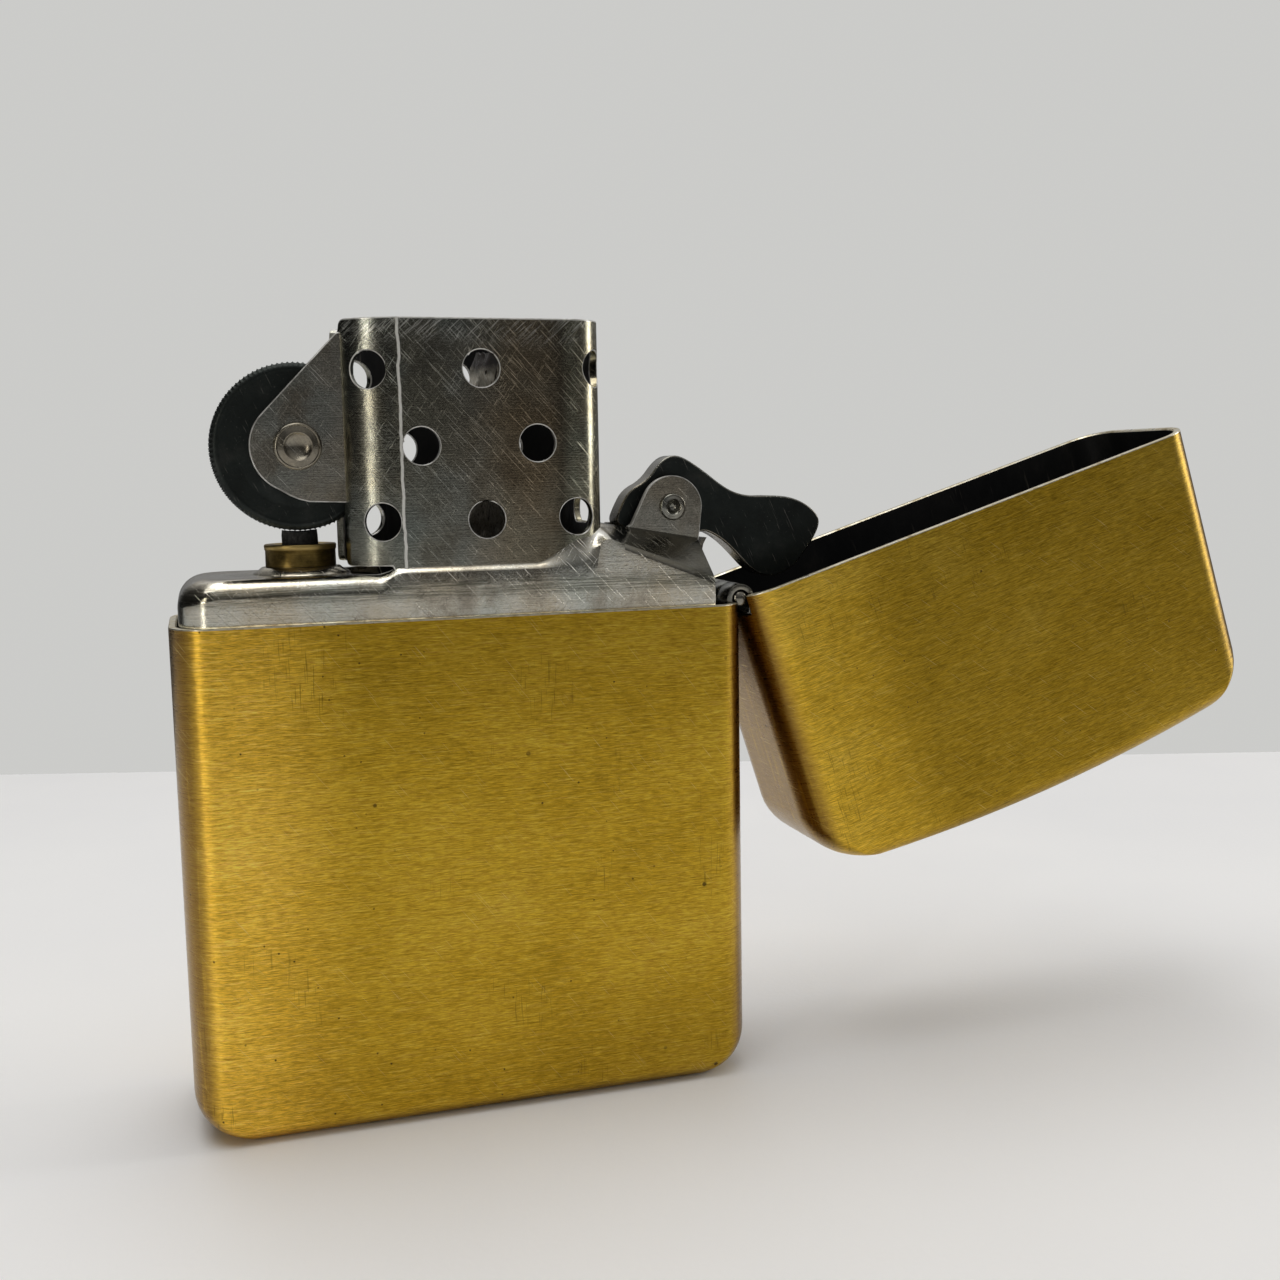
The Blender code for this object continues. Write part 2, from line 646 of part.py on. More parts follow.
def make_striker():
    edge = 0.3
    width = STRIKER_HALF_WIDTH
    radius = STRIKER_RADIUS
    profile = [(STRIKER_BORE, -width), (radius - edge, -width), (radius, -width + edge),
               (radius, width - edge), (radius - edge, width), (STRIKER_BORE, width)]
    pivot = (STRIKER_X, 0.0, STRIKER_Z)
    add_object("striker_wheel", lathe(profile, 48, pivot, "Y"), BLACK_STEEL, pivot=pivot)
    rivet = rivet_profile(STRIKER_RIVET_RADIUS, EAR_OUTER_Y + RIVET_LAP, 1.55, 0.42, 0.9)
    add_object("striker_rivet", lathe(rivet, 24, pivot, "Y"), STEEL)


def cam_outline():
    """Lever in side view at the open position: heel, humped back, tail and rounded tip."""
    return [(10.97, 39.2), (11.46, 40.4), (12.1, 41.45), (13.4, 42.1), (14.4, 43.4), (15.2, 43.85),
            (16.1, 43.72), (17.6, 42.75), (19.0, 41.65), (20.1, 41.05), (21.4, 40.82), (23.0, 40.85),
            (24.4, 40.68), (25.6, 40.15), (26.4, 39.45), (26.65, 38.8), (26.3, 37.9), (25.4, 36.6),
            (24.5, 35.6), (23.4, 35.02), (22.2, 34.98), (21.2, 35.5), (20.2, 36.6), (19.3, 37.5),
            (18.4, 38.15), (17.45, 38.52), (16.6, 38.12), (15.6, 37.65), (14.0, 37.75), (12.75, 38.5),
            (11.8, 38.72)]


def make_cam():
    pivot = (CAM_X, 0.0, CAM_Z)
    bm = extrude_outline(cam_outline(), -CAM_HALF_WIDTH, CAM_HALF_WIDTH, "Y")
    lever = add_object("cam_lever", bm, BLACK_STEEL, pivot=pivot)
    cut(lever, guide("cam_bore", cylinder(CAM_X, CAM_Z, CAM_BORE, -3.0, 3.0, "Y", 20)))
    rivet = rivet_profile(CAM_RIVET_RADIUS, CAM_EAR_OUTER_Y + RIVET_LAP, 0.98, 0.3, 0.55)
    add_object("cam_rivet", lathe(rivet, 20, pivot, "Y"), STEEL)


def make_cam_spring():
    """Leaf spring inside the tank: riveted to the hinge-side wall, its tip under the cam."""
    wall_outer = TANK_CENTRE_X + TANK_HALF_X
    wall_face = wall_outer - TANK_WALL
    bends = [(-0.25, 17.5), (-0.25, 26.0), (-0.7, 30.0), (-0.4, 34.0), (0.0, 36.6), (0.2, 37.5),
             (0.45, 37.95)]
    centre = [(wall_face + offset, z) for offset, z in bends]
    half = SPRING_THICKNESS / 2.0
    outline = [(x - half, z) for x, z in centre] + [(x + half, z) for x, z in reversed(centre)]
    spring = add_object("cam_spring",
                        extrude_outline(outline, -SPRING_HALF_WIDTH, SPRING_HALF_WIDTH, "Y"), STEEL)
    for number, z in enumerate(SPRING_RIVET_Z, 1):
        cut(spring, guide(f"leaf_hole_{number}",
                          cylinder(0.0, z, SPRING_RIVET_RADIUS + RIVET_CLEARANCE, 15.0, 19.0, "X", 16)))
        head = 1.1
        edge = 0.2
        inner = centre[0][0] - half - RIVET_LAP
        outer = wall_outer + RIVET_LAP
        low = inner - 0.3
        high = outer + 0.25
        profile = [(0.0, low), (head - edge, low), (head, inner), (SPRING_RIVET_RADIUS, inner),
                   (SPRING_RIVET_RADIUS, outer), (head, outer), (head - edge, high), (0.0, high)]
        bm = lathe(profile, 16, (0.0, 0.0, 0.0))
        turn = Matrix.Translation((0.0, 0.0, z)) @ Matrix.Rotation(math.radians(90), 4, "Y")
        bmesh.ops.transform(bm, matrix=turn, verts=bm.verts)
        add_object(f"cam_spring_rivet_{number}", bm, STEEL)


def make_wick():
    add_object("wick", cylinder(WICK_X, 0.0, WICK_RADIUS, WICK_BOTTOM_Z, WICK_TOP_Z, segments=16), COTTON)


def make_filling():
    """Five cotton pads round the wick and the felt pad that closes the tank from below."""
    gap = 0.2
    spring_room = 1.3
    left = FLINT_X + TUBE_OUTER_RADIUS + 0.3
    right = TANK_CENTRE_X + TANK_HALF_X - TANK_WALL - spring_room
    half_y = TANK_HALF_Y - TANK_WALL - gap
    wick_left = WICK_X - WICK_RADIUS - gap
    wick_right = WICK_X + WICK_RADIUS + gap
    first = (FELT_TOP_Z + gap, WICK_BOTTOM_Z - 0.3)
    second = (WICK_BOTTOM_Z - 0.1, 22.2)
    third = (second[1] + gap, 32.6)
    spans = [(left, right, *first), (wick_right, right, *second), (wick_right, right, *third),
             (left, wick_left, *second), (left, wick_left, *third)]
    for number, (x_low, x_high, z_low, z_high) in enumerate(spans, 1):
        pad = add_object(f"packing_{number}", box((x_low, -half_y, z_low), (x_high, half_y, z_high)), COTTON)
        rounding = pad.modifiers.new("rounding", "BEVEL")
        rounding.width = 1.2 * MM
        rounding.segments = 3
        rounding.limit_method = "NONE"
    outline = [(x + TANK_CENTRE_X, y) for x, y in slab_outline(*shrunk(TANK_PLAN, TANK_WALL + 0.15))]
    felt = add_object("felt_pad", extrude_outline(outline, TANK_BOTTOM_Z + gap, FELT_TOP_Z), FELT)
    cut(felt, guide("felt_screw_hole", cylinder(FLINT_X, 0.0, SCREW_RADIUS + 0.25, 0.5, 7.0)))


clear_scene()
make_case()
make_lid()
make_leaf("hinge_leaf_lower", "lower", -1.0)
make_leaf("hinge_leaf_upper", "upper", 1.0)
make_hinge_pin()
make_insert()
make_inner_plate()
make_flint_tube()
make_flint_train()
make_striker()
make_cam()
make_cam_spring()
make_wick()
make_filling()
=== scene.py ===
"""Looks of a flip-top petrol lighter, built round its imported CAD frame.

Meshes are drawn in millimetres in the row frame and turned to metres when an object is made.
The lid's pieces are drawn closed and turned open about the hinge pin. Sizes come from the
frame's boxes and joints, and the rest are the named values below.
"""

import json
import math

import bmesh
import bpy
from mathutils import Matrix, Vector, noise


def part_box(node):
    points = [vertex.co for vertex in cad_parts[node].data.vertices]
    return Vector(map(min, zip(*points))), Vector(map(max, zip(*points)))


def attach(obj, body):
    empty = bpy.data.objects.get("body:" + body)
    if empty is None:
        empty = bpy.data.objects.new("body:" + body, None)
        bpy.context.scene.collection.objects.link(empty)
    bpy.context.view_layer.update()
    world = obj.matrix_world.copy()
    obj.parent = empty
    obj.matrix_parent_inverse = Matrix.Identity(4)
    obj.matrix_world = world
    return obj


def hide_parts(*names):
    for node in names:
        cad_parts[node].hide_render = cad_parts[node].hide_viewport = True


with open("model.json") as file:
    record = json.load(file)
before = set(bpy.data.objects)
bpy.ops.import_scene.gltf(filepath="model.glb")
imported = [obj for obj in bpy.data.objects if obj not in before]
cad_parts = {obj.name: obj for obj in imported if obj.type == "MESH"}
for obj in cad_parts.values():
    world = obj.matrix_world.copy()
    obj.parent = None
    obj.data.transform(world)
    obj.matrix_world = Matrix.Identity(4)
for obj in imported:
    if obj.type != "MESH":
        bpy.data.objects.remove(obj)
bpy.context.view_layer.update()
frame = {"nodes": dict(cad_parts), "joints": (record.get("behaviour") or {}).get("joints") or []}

MM = 0.001
JOINTS = {joint["name"]: joint for joint in frame["joints"]}


def box_mm(node):
    low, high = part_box(node)
    return low / MM, high / MM


def pivot_mm(joint):
    return Vector(JOINTS[joint]["pos_m"]) / MM


# Places and sizes read from the frame
HINGE = pivot_mm("lid_hinge")
CAM = pivot_mm("cam_pivot")
STRIKER = pivot_mm("striker_spin")
OPEN_ANGLE = math.radians(JOINTS["lid_hinge"]["range_deg"][1])
CASE_LOW, CASE_HIGH = box_mm("case_bottom")
INSERT_LOW, INSERT_HIGH = box_mm("insert_body")
TUBE_LOW, TUBE_HIGH = box_mm("flint_tube")
COLLAR_LOW, COLLAR_HIGH = box_mm("flint_tube_collar")
WICK_LOW, WICK_HIGH = box_mm("wick")
WHEEL_LOW, WHEEL_HIGH = box_mm("striker_wheel")
PIN_LOW, PIN_HIGH = box_mm("hinge_pin")
FLINT_X = (TUBE_LOW.x + TUBE_HIGH.x) / 2.0
WICK_X = (WICK_LOW.x + WICK_HIGH.x) / 2.0
WHEEL_RADIUS = (WHEEL_HIGH.z - WHEEL_LOW.z) / 2.0

# Case and lid shells. A plan is (half length, half depth, corner radius along X, along Y).
CASE_RIM_Z = CASE_HIGH.z
LID_RIM_Z = CASE_RIM_Z + 0.15
LID_TOP_Z = 56.1
SHELL_PLAN = (CASE_HIGH.x, CASE_HIGH.y, 2.6, 3.2)
SHELL_WALL = 0.5
SHELL_LIP = 0.09
FACE_ROUND = 1.6
CASE_END_ROUND = 3.2
LID_END_ROUND = 4.0
LID_SAG = 1.3
CORNER_STEPS = 12
LONG_STEPS = 14
ROUND_STEPS = 10

# Insert. Holes are (x, z) in the front and back panels and (x, y, turn in degrees, z) at the
# corners. The end slot is (half width, middle z, end radius); the saddle gets a painted highlight.
TANK_X = (INSERT_LOW.x + INSERT_HIGH.x) / 2.0
TANK_PLAN = (INSERT_HIGH.x - TANK_X, INSERT_HIGH.y, 2.3, 3.0)
TANK_WALL = 0.4
DECK_Z = 36.45
DECK_END_ROUND = 1.8
DECK_FACE_ROUND = 1.2
CHIMNEY_TOP_Z = INSERT_HIGH.z
CHIMNEY_Y = 5.35
CHIMNEY_END_X = 9.3
CHIMNEY_CORNER = 2.4
CHIMNEY_WALL = 0.5
CREASE_X = -4.3
CURL_BOTTOM_Z = 36.96
HOLE_RADIUS = 1.2
PANEL_HOLES = ((1.0, 49.5), (-3.0, 44.6), (4.6, 44.7), (1.1, 39.8))
CORNER_HOLES = ((-6.25, -4.7, 32.0, 49.45), (-5.65, -5.0, 22.0, 39.8),
                (8.8, -4.42, -52.0, 49.55), (7.2, -5.3, -14.0, 39.85))
END_SLOT = (1.1, 40.2, 0.9)
SADDLE = (8.75, -4.6, 38.45)
SHEET_END_X = 16.75
SLOT_HALF = 1.45
EAR_OUT = 2.0
ROOF_X = 9.6
ROOF_LOW_FALL = 0.392
ROOF_HIGH_FALL = 0.179
# Heights over which the wick's lower part is painted dark: painted shadow inside the chimney.
WICK_SHADOW_LOW_Z = 42.5
WICK_SHADOW_HIGH_Z = 46.5

# Cuts, hidden overlaps and shading. OUTSIDE lies past every piece that is cut.
OUTSIDE = 45.0
OVERLAP = 0.012
MERGE_GAP = 0.015
SHARP_ANGLE = math.radians(42.0)
NORMAL_WEIGHT = 80


# ------ mesh helpers

def lerp(a, b, t):
    """a at 0, b at 1, straight between."""
    return a + (b - a) * t


def smooth(t):
    """0 up to 0, 1 from 1, an even curve between."""
    t = min(1.0, max(0.0, t))
    return t * t * (3.0 - 2.0 * t)


def ease(value, low, high):
    """0 at low, 1 at high, smoothly between."""
    return smooth((value - low) / (high - low))


def arc(centre, radius, start_deg, end_deg, steps):
    """Points along an arc, both ends included."""
    points = []
    for i in range(steps + 1):
        angle = math.radians(lerp(start_deg, end_deg, i / steps))
        points.append((centre[0] + radius * math.cos(angle), centre[1] + radius * math.sin(angle)))
    return points


def ragged(point, size, amount):
    """Smooth noise of the given feature size in millimetres, between -amount and amount."""
    return noise.noise(Vector(point) / size) * amount


def bridge(bm, first, second, closed=False, slot=0):
    count = len(first)
    for i in range(count if closed else count - 1):
        j = (i + 1) % count
        bm.faces.new((first[i], first[j], second[j], second[i])).material_index = slot


def stack(bm, rings):
    """Join closed rings of vertices in order."""
    for first, second in zip(rings, rings[1:]):
        bridge(bm, first, second, closed=True)


def both_sides(half):
    """The front half of an outline, then its mirror image back to the start."""
    return half + [(x, -y) for x, y in reversed(half)]


def prism(points, low, high, axis="Z", edge_slot=0):
    """Prism of a closed outline; axis Z takes (x, y) points and axis Y takes (x, z)."""
    bm = bmesh.new()
    if axis == "Z":
        rings = [[bm.verts.new((x, y, h)) for x, y in points] for h in (low, high)]
    else:
        rings = [[bm.verts.new((x, h, z)) for x, z in points] for h in (low, high)]
    bm.faces.new(rings[0])
    bm.faces.new(rings[1])
    bridge(bm, rings[0], rings[1], closed=True, slot=edge_slot)
    return bm


def block(low, high):
    return prism([(low[0], low[1]), (high[0], low[1]), (high[0], high[1]), (low[0], high[1])],
                 low[2], high[2])


def rod(x, z, radius, low, high, steps=32, axis="Y"):
    return prism(arc((x, z), radius, 0.0, 360.0, steps)[:-1], low, high, axis)


def lathe(profile, centre, steps=48, axis="Z", shape=None):
    """Turn a closed (radius, height) profile about an axis through the centre.

    shape, if given, takes (radius, height, angle) and returns the radius and height there.
    """
    bm = bmesh.new()
    turn = Matrix.Rotation(math.radians(90), 4, "X") if axis == "Y" else Matrix.Identity(4)
    place = Matrix.Translation(centre) @ turn
    rings = []
    for i in range(steps):
        angle = 2.0 * math.pi * i / steps
        ring = []
        for radius, height in profile:
            if shape:
                radius, height = shape(radius, height, angle)
            point = Vector((radius * math.cos(angle), radius * math.sin(angle), height))
            ring.append(bm.verts.new(place @ point))
        rings.append(ring)
    stack(bm, rings + rings[:1])
    bmesh.ops.remove_doubles(bm, verts=bm.verts, dist=1e-4)
    return bm


def thinned(rows, thickness):
    """Grid of points that lies the given thickness behind another; across x up points out of it."""
    points = [[Vector(p) for p in row] for row in rows]
    last_row = len(points) - 1
    last_column = len(points[0]) - 1
    behind = []
    for r, row in enumerate(points):
        behind.append([])
        for c, p in enumerate(row):
            across = row[min(c + 1, last_column)] - row[max(c - 1, 0)]
            up = points[min(r + 1, last_row)][c] - points[max(r - 1, 0)][c]
            behind[r].append(p - across.cross(up).normalized() * thickness)
    return behind


def plate(outer_rows, inner_rows, inner_slot=0):
    """Closed plate between two grids of points; the inner face may have a material of its own."""
    bm = bmesh.new()
    outer = [[bm.verts.new(p) for p in row] for row in outer_rows]
    inner = [[bm.verts.new(p) for p in row] for row in inner_rows]
    last_row = len(outer) - 1
    for r in range(last_row):
        bridge(bm, outer[r], outer[r + 1])
        bridge(bm, inner[r + 1], inner[r], slot=inner_slot)
    bridge(bm, inner[0], outer[0])
    bridge(bm, outer[-1], inner[-1])
    for c in (0, -1):
        bridge(bm, [row[c] for row in outer], [row[c] for row in inner])
    return bm


def gather(*shapes):
    """One bmesh of several closed shapes that stay apart."""
    whole = bmesh.new()
    for shape in shapes:
        copies = {vertex: whole.verts.new(vertex.co) for vertex in shape.verts}
        for face in shape.faces:
            made = whole.faces.new([copies[vertex] for vertex in face.verts])
            made.material_index = face.material_index
        shape.free()
    return whole


def mirrored(shape):
    """A copy of the shape on the other side of the front-to-back middle."""
    other = shape.copy()
    bmesh.ops.scale(other, verts=other.verts, vec=(1.0, -1.0, 1.0))
    return other


def make_object(name, bm, *materials):
    bmesh.ops.scale(bm, verts=bm.verts, vec=(MM, MM, MM))
    bmesh.ops.recalc_face_normals(bm, faces=bm.faces)
    mesh = bpy.data.meshes.new(name)
    for material in materials:
        mesh.materials.append(material)
    bm.to_mesh(mesh)
    bm.free()
    item = bpy.data.objects.new(name, mesh)
    bpy.context.scene.collection.objects.link(item)
    return item


def apply_modifiers(item):
    graph = bpy.context.evaluated_depsgraph_get()
    mesh = bpy.data.meshes.new_from_object(item.evaluated_get(graph), depsgraph=graph)
    mesh.name = item.name
    item.modifiers.clear()
    item.data = mesh


def carve(item, bm):
    """Cut a shape out of an object and merge the slivers left by the cut."""
    cutter = make_object("cutter", bm)
    step = item.modifiers.new("cut", "BOOLEAN")
    step.operation = "DIFFERENCE"
    step.solver = "EXACT"
    step.object = cutter
    apply_modifiers(item)
    bpy.data.objects.remove(cutter, do_unlink=True)
    cut = bmesh.new()
    cut.from_mesh(item.data)
    bmesh.ops.remove_doubles(cut, verts=cut.verts, dist=MERGE_GAP * MM)
    bmesh.ops.dissolve_degenerate(cut, edges=cut.edges, dist=MERGE_GAP * MM)
    cut.to_mesh(item.data)
    cut.free()


def soften(item, width, segments=2, angle_deg=40.0, slot=-1):
    """Round an object's sharp edges by a width in millimetres; slot is the rounds' material."""
    step = item.modifiers.new("edges", "BEVEL")
    step.width = width * MM
    step.segments = segments
    step.limit_method = "ANGLE"
    step.angle_limit = math.radians(angle_deg)
    step.use_clamp_overlap = False
    step.loop_slide = False
    step.material = slot
    apply_modifiers(item)


def finish_piece(item, body, slot, replaces=(), origin=None, turn=0.0, flat_first=True,
                 sharp=SHARP_ANGLE):
    """Shade and place a piece, put it under its body and hide the CAD nodes that it replaces. The slot is not
    used.
    """
    item.data.shade_smooth()
    item.data.set_sharp_from_angle(angle=sharp)
    if flat_first:
        step = item.modifiers.new("normals", "WEIGHTED_NORMAL")
        step.weight = NORMAL_WEIGHT
        step.keep_sharp = True
        apply_modifiers(item)
    if origin is not None:
        item.data.transform(Matrix.Translation(-Vector(origin) * MM))
        item.location = Vector(origin) * MM
        item.rotation_euler = (0.0, turn, 0.0)
    bpy.context.view_layer.update()
    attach(item, body)
    if replaces:
        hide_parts(*replaces)


# ------ materials

class Nodes:
    """Adds nodes to one tree; each call gives the new node or its output socket."""

    def __init__(self, tree):
        self.tree = tree

    def feed(self, socket, value):
        """Link a node's output into a socket, or give the socket one value."""
        if isinstance(value, bpy.types.NodeSocket):
            self.tree.links.new(value, socket)
        else:
            socket.default_value = (*value, 1.0) if socket.type == "RGBA" else value

    def add(self, kind, inputs, **settings):
        made = self.tree.nodes.new("ShaderNode" + kind)
        for name, value in settings.items():
            setattr(made, name, value)
        for key, value in inputs.items():
            self.feed(made.inputs[key], value)
        return made

    def ramp(self, value, *stops):
        """Ramp through (position, colour or grey) stops."""
        made = self.add("ValToRGB", {"Fac": value})
        elements = made.color_ramp.elements
        while len(elements) < len(stops):
            elements.new(1.0)
        for element, (position, colour) in zip(elements, stops):
            element.position = position
            element.color = (*(colour if isinstance(colour, tuple) else (colour,) * 3), 1.0)
        return made.outputs["Color"]

    def mix(self, factor, first, second, blend="MIX"):
        inputs = {0: factor, 6: first, 7: second}
        return self.add("Mix", inputs, data_type="RGBA", blend_type=blend).outputs[2]


class Paint(Nodes):
    """A material put together layer by layer, in the piece's own coordinates.

    colour is its base colour so far. Sizes and places are in millimetres.
    """

    def __init__(self, name, metallic, roughness):
        self.material = bpy.data.materials.new(name)
        self.material.use_nodes = True
        super().__init__(self.material.node_tree)
        self.shader = self.tree.nodes["Principled BSDF"]
        self.set("Metallic", metallic)
        self.set("Roughness", roughness)
        self.place = self.add("TexCoord", {}).outputs["Object"]
        self.colour = None

    def set(self, name, value):
        self.feed(self.shader.inputs[name], value)

    def mapped(self, place, size, seed):
        """Coordinates in which features are 1 wide; the seed shifts the pattern."""
        scale = tuple(1.0 / (s * MM) for s in size)
        return self.add("Mapping", {"Vector": place, "Scale": scale, "Location": (seed,) * 3}).outputs[0]

    def grain(self, size, detail=3.0, rough=0.55, seed=0.0, turn=(0.0, 0.0, 0.0), warp=0.0):
        """Noise from 0 to 1 with features of the given size along each axis, turned in degrees."""
        place = self.place
        if any(turn):
            radians = tuple(math.radians(a) for a in turn)
            place = self.add("Mapping", {"Vector": place, "Rotation": radians}).outputs[0]
        inputs = {"Vector": self.mapped(place, size, seed), "Scale": 1.0, "Detail": detail,
                  "Roughness": rough, "Distortion": warp}
        return self.add("TexNoise", inputs).outputs[0]

    def lines(self, size, seed, turn_deg, low, high, detail=1.0):
        """1 on fine lines turned about Y, 0 between them; low and high cut the noise."""
        return self.band(self.grain(size, detail, seed=seed, turn=(0.0, turn_deg, 0.0)), low, high)

    def spots(self, size, radius, seed=0.0):
        """1 inside scattered round spots, 0 outside."""
        place = self.mapped(self.place, (size,) * 3, seed)
        near = self.add("TexVoronoi", {"Vector": place, "Scale": 1.0}).outputs["Distance"]
        return self.band(near, radius / size, 0.55 * radius / size)

    def band(self, value, low, high):
        """0 at low, 1 at high, smoothly between."""
        return self.add("MapRange", {"Value": value, "From Min": low, "From Max": high},
                        interpolation_type="SMOOTHSTEP").outputs[0]

    def zone(self, axis, low, high):
        """0 where the axis is at low, 1 where it is at high."""
        return self.band(self.axis(axis), low * MM, high * MM)

    def axis(self, name):
        return self.add("SeparateXYZ", {0: self.place}).outputs[name]

    def maths(self, operation, first, second=0.0):
        return self.add("Math", {0: first, 1: second}, operation=operation).outputs[0]

    def times(self, first, second):
        return self.maths("MULTIPLY", first, second)

    def most(self, first, second):
        return self.maths("MAXIMUM", first, second)

    def cover(self, mask, colour, share=1.0):
        """Lay a share of a colour over the base where the mask is 1."""
        factor = mask if share == 1.0 else self.times(mask, share)
        self.colour = self.mix(factor, self.colour, colour)

    def tint(self, mask, colour, share=1.0):
        """Multiply the base by a colour where the mask is 1."""
        self.cover(mask, self.mix(1.0, self.colour, colour, "MULTIPLY"), share)

    def overlay(self, share, value, *stops):
        self.colour = self.mix(share, self.colour, self.ramp(value, *stops), "OVERLAY")

    def finish(self, rough, *layers):
        """Set the base colour, the roughness and a bump from (height socket, depth) layers."""
        self.set("Base Color", self.colour)
        self.set("Roughness", rough)
        normal = None
        for height, depth in layers:
            inputs = {"Height": height, "Strength": 1.0, "Distance": depth * MM}
            if normal is not None:
                inputs["Normal"] = normal
            normal = self.add("Bump", inputs).outputs[0]
        self.set("Normal", normal)
        return self.material


def scaled(colour, tone):
    return tuple(a * b for a, b in zip(colour, tone))


def brass_material(name, seed, end_a, end_b, shade_z, painted_light_level=1.0, highlight_tint=(1.55, 1.52, 2.2)):
    """Old brushed brass: streaks along X, olive and brown tarnish, pits and a few scratches.

    end_a and end_b are the X of the piece's two rounded ends, which get a painted dark brown
    reflection. A painted highlight lightens it near end_a, and painted shade darkens it towards
    the height given and at the far low corner.
    """
    paint = Paint(name, 1.0, 0.36)
    patches = paint.grain((13.0, 13.0, 8.0), detail=4.0, seed=seed)
    streaks = paint.grain((2.2, 2.2, 0.11), detail=5.0, rough=0.62, seed=seed + 3.0, warp=0.2)
    hairs = paint.grain((0.6, 0.6, 0.055), detail=4.0, rough=0.7, seed=seed + 7.0)
    rubs = paint.grain((0.5, 0.5, 6.0), detail=4.0, rough=0.6, seed=seed + 11.0)
    # Painted light and shade: the whole colour is scaled by the given level.
    tone = tuple(painted_light_level * c for c in (1.0, 0.97, 0.95))
    tarnish = ((0.30, (0.44, 0.28, 0.020)), (0.45, (0.52, 0.335, 0.026)), (0.58, (0.57, 0.375, 0.034)),
               (0.75, (0.63, 0.43, 0.055)))
    paint.colour = paint.ramp(patches, *((at, scaled(colour, tone)) for at, colour in tarnish))
    paint.cover(paint.band(streaks, 0.48, 0.74), scaled((0.74, 0.53, 0.09), tone), 0.6)
    paint.cover(paint.band(streaks, 0.5, 0.28), scaled((0.27, 0.16, 0.012), tone), 0.5)
    paint.overlay(0.9, hairs, (0.34, 0.27), (0.5, 0.5), (0.66, 0.74))
    paint.overlay(0.12, rubs, (0.35, 0.36), (0.65, 0.62))
    inward = math.copysign(1.0, end_b - end_a)
    # Painted highlight: the colour is lightened towards end_a, the lit end.
    paint.tint(paint.zone("X", end_a + 12.0 * inward, end_a + 2.2 * inward), highlight_tint)
    # Painted shade: darker towards the height given and at the far low corner, away from the lit end.
    stain_and_shade = paint.zone("Z", shade_z - 13.0, shade_z)
    corner = paint.times(paint.zone("Z", shade_z - 22.0, shade_z - 31.0),
                         paint.zone("X", end_b - 22.0 * inward, end_b - 6.0 * inward))
    away = paint.zone("X", end_a + 7.0 * inward, end_a + 12.0 * inward)
    stain_and_shade = paint.times(paint.most(stain_and_shade, paint.times(corner, 0.9)), away)
    paint.tint(stain_and_shade, (0.62, 0.61, 0.55), 0.55)
    # Painted reflection: dark brown on the two rounded ends, patchy.
    near_a = paint.zone("X", end_a + 2.0 * inward, end_a + 0.7 * inward)
    near_b = paint.zone("X", end_b - 2.0 * inward, end_b - 0.6 * inward)
    ends = paint.times(paint.most(near_a, near_b), paint.band(rubs, 0.0, 0.5))
    paint.cover(ends, (0.17, 0.09, 0.03), 0.8)
    pits = paint.times(paint.spots(3.3, 0.19, seed), paint.band(patches, 0.44, 0.56))
    specks = paint.times(paint.spots(1.2, 0.09, seed + 5.0), paint.band(patches, 0.56, 0.44))
    marks = paint.most(pits, specks)
    paint.cover(marks, (0.06, 0.035, 0.012), 0.85)
    paint.cover(paint.lines((0.05, 3.0, 3.2), seed + 19.0, 38.0, 0.70, 0.77), (0.85, 0.66, 0.24), 0.5)
    clumps = paint.band(paint.grain((7.0, 7.0, 7.0), detail=2.0, seed=seed + 29.0), 0.56, 0.66)
    ticks = paint.times(paint.lines((0.09, 1.0, 1.9), seed + 31.0, 0.0, 0.62, 0.72), clumps)
    paint.cover(ticks, (0.13, 0.08, 0.014), 0.5)
    rough = paint.maths("ADD", paint.ramp(streaks, (0.3, 0.32), (0.7, 0.42)), paint.times(ends, -0.08))
    paint.set("Anisotropic", 0.45)
    paint.set("Anisotropic Rotation", 0.25)
    return paint.finish(rough, (streaks, 0.012), (hairs, 0.006), (patches, 0.05),
                        (paint.times(marks, -1.0), 0.03))


def rim_material(name, low, middle, high, metallic):
    """A cut or rubbed edge: worn pale metal with small nicks. On the brass rim the pale colour is
    also a painted highlight.
    """
    paint = Paint(name, metallic, 0.3)
    wear = paint.grain((0.7, 0.7, 0.7), detail=4.0)
    paint.colour = paint.ramp(wear, (0.3, low), (0.5, middle), (0.7, high))
    return paint.finish(paint.ramp(wear, (0.3, 0.45), (0.7, 0.25)), (wear, 0.03))


def soot_material():
    """Sooty inside of the shells, with a few rubbed lines."""
    paint = Paint("sooty_inside", 0.6, 0.45)
    soot_film_and_shade = paint.grain((2.5, 2.5, 5.0), detail=5.0, rough=0.6)
    lines = paint.grain((0.3, 0.3, 4.0), detail=3.0, seed=4.0)
    paint.colour = paint.ramp(soot_film_and_shade, (0.35, (0.006, 0.006, 0.007)), (0.6, (0.022, 0.022, 0.022)),
                              (0.8, (0.06, 0.055, 0.05)))
    paint.cover(paint.band(lines, 0.66, 0.78), (0.10, 0.09, 0.075))
    return paint.finish(paint.ramp(soot_film_and_shade, (0.3, 0.55), (0.7, 0.35)), (soot_film_and_shade, 0.05))


def brushed(paint, seed):
    """The steel's brush marks along X."""
    return paint.grain((2.4, 2.4, 0.08), detail=4.0, rough=0.65, seed=seed + 5.0)


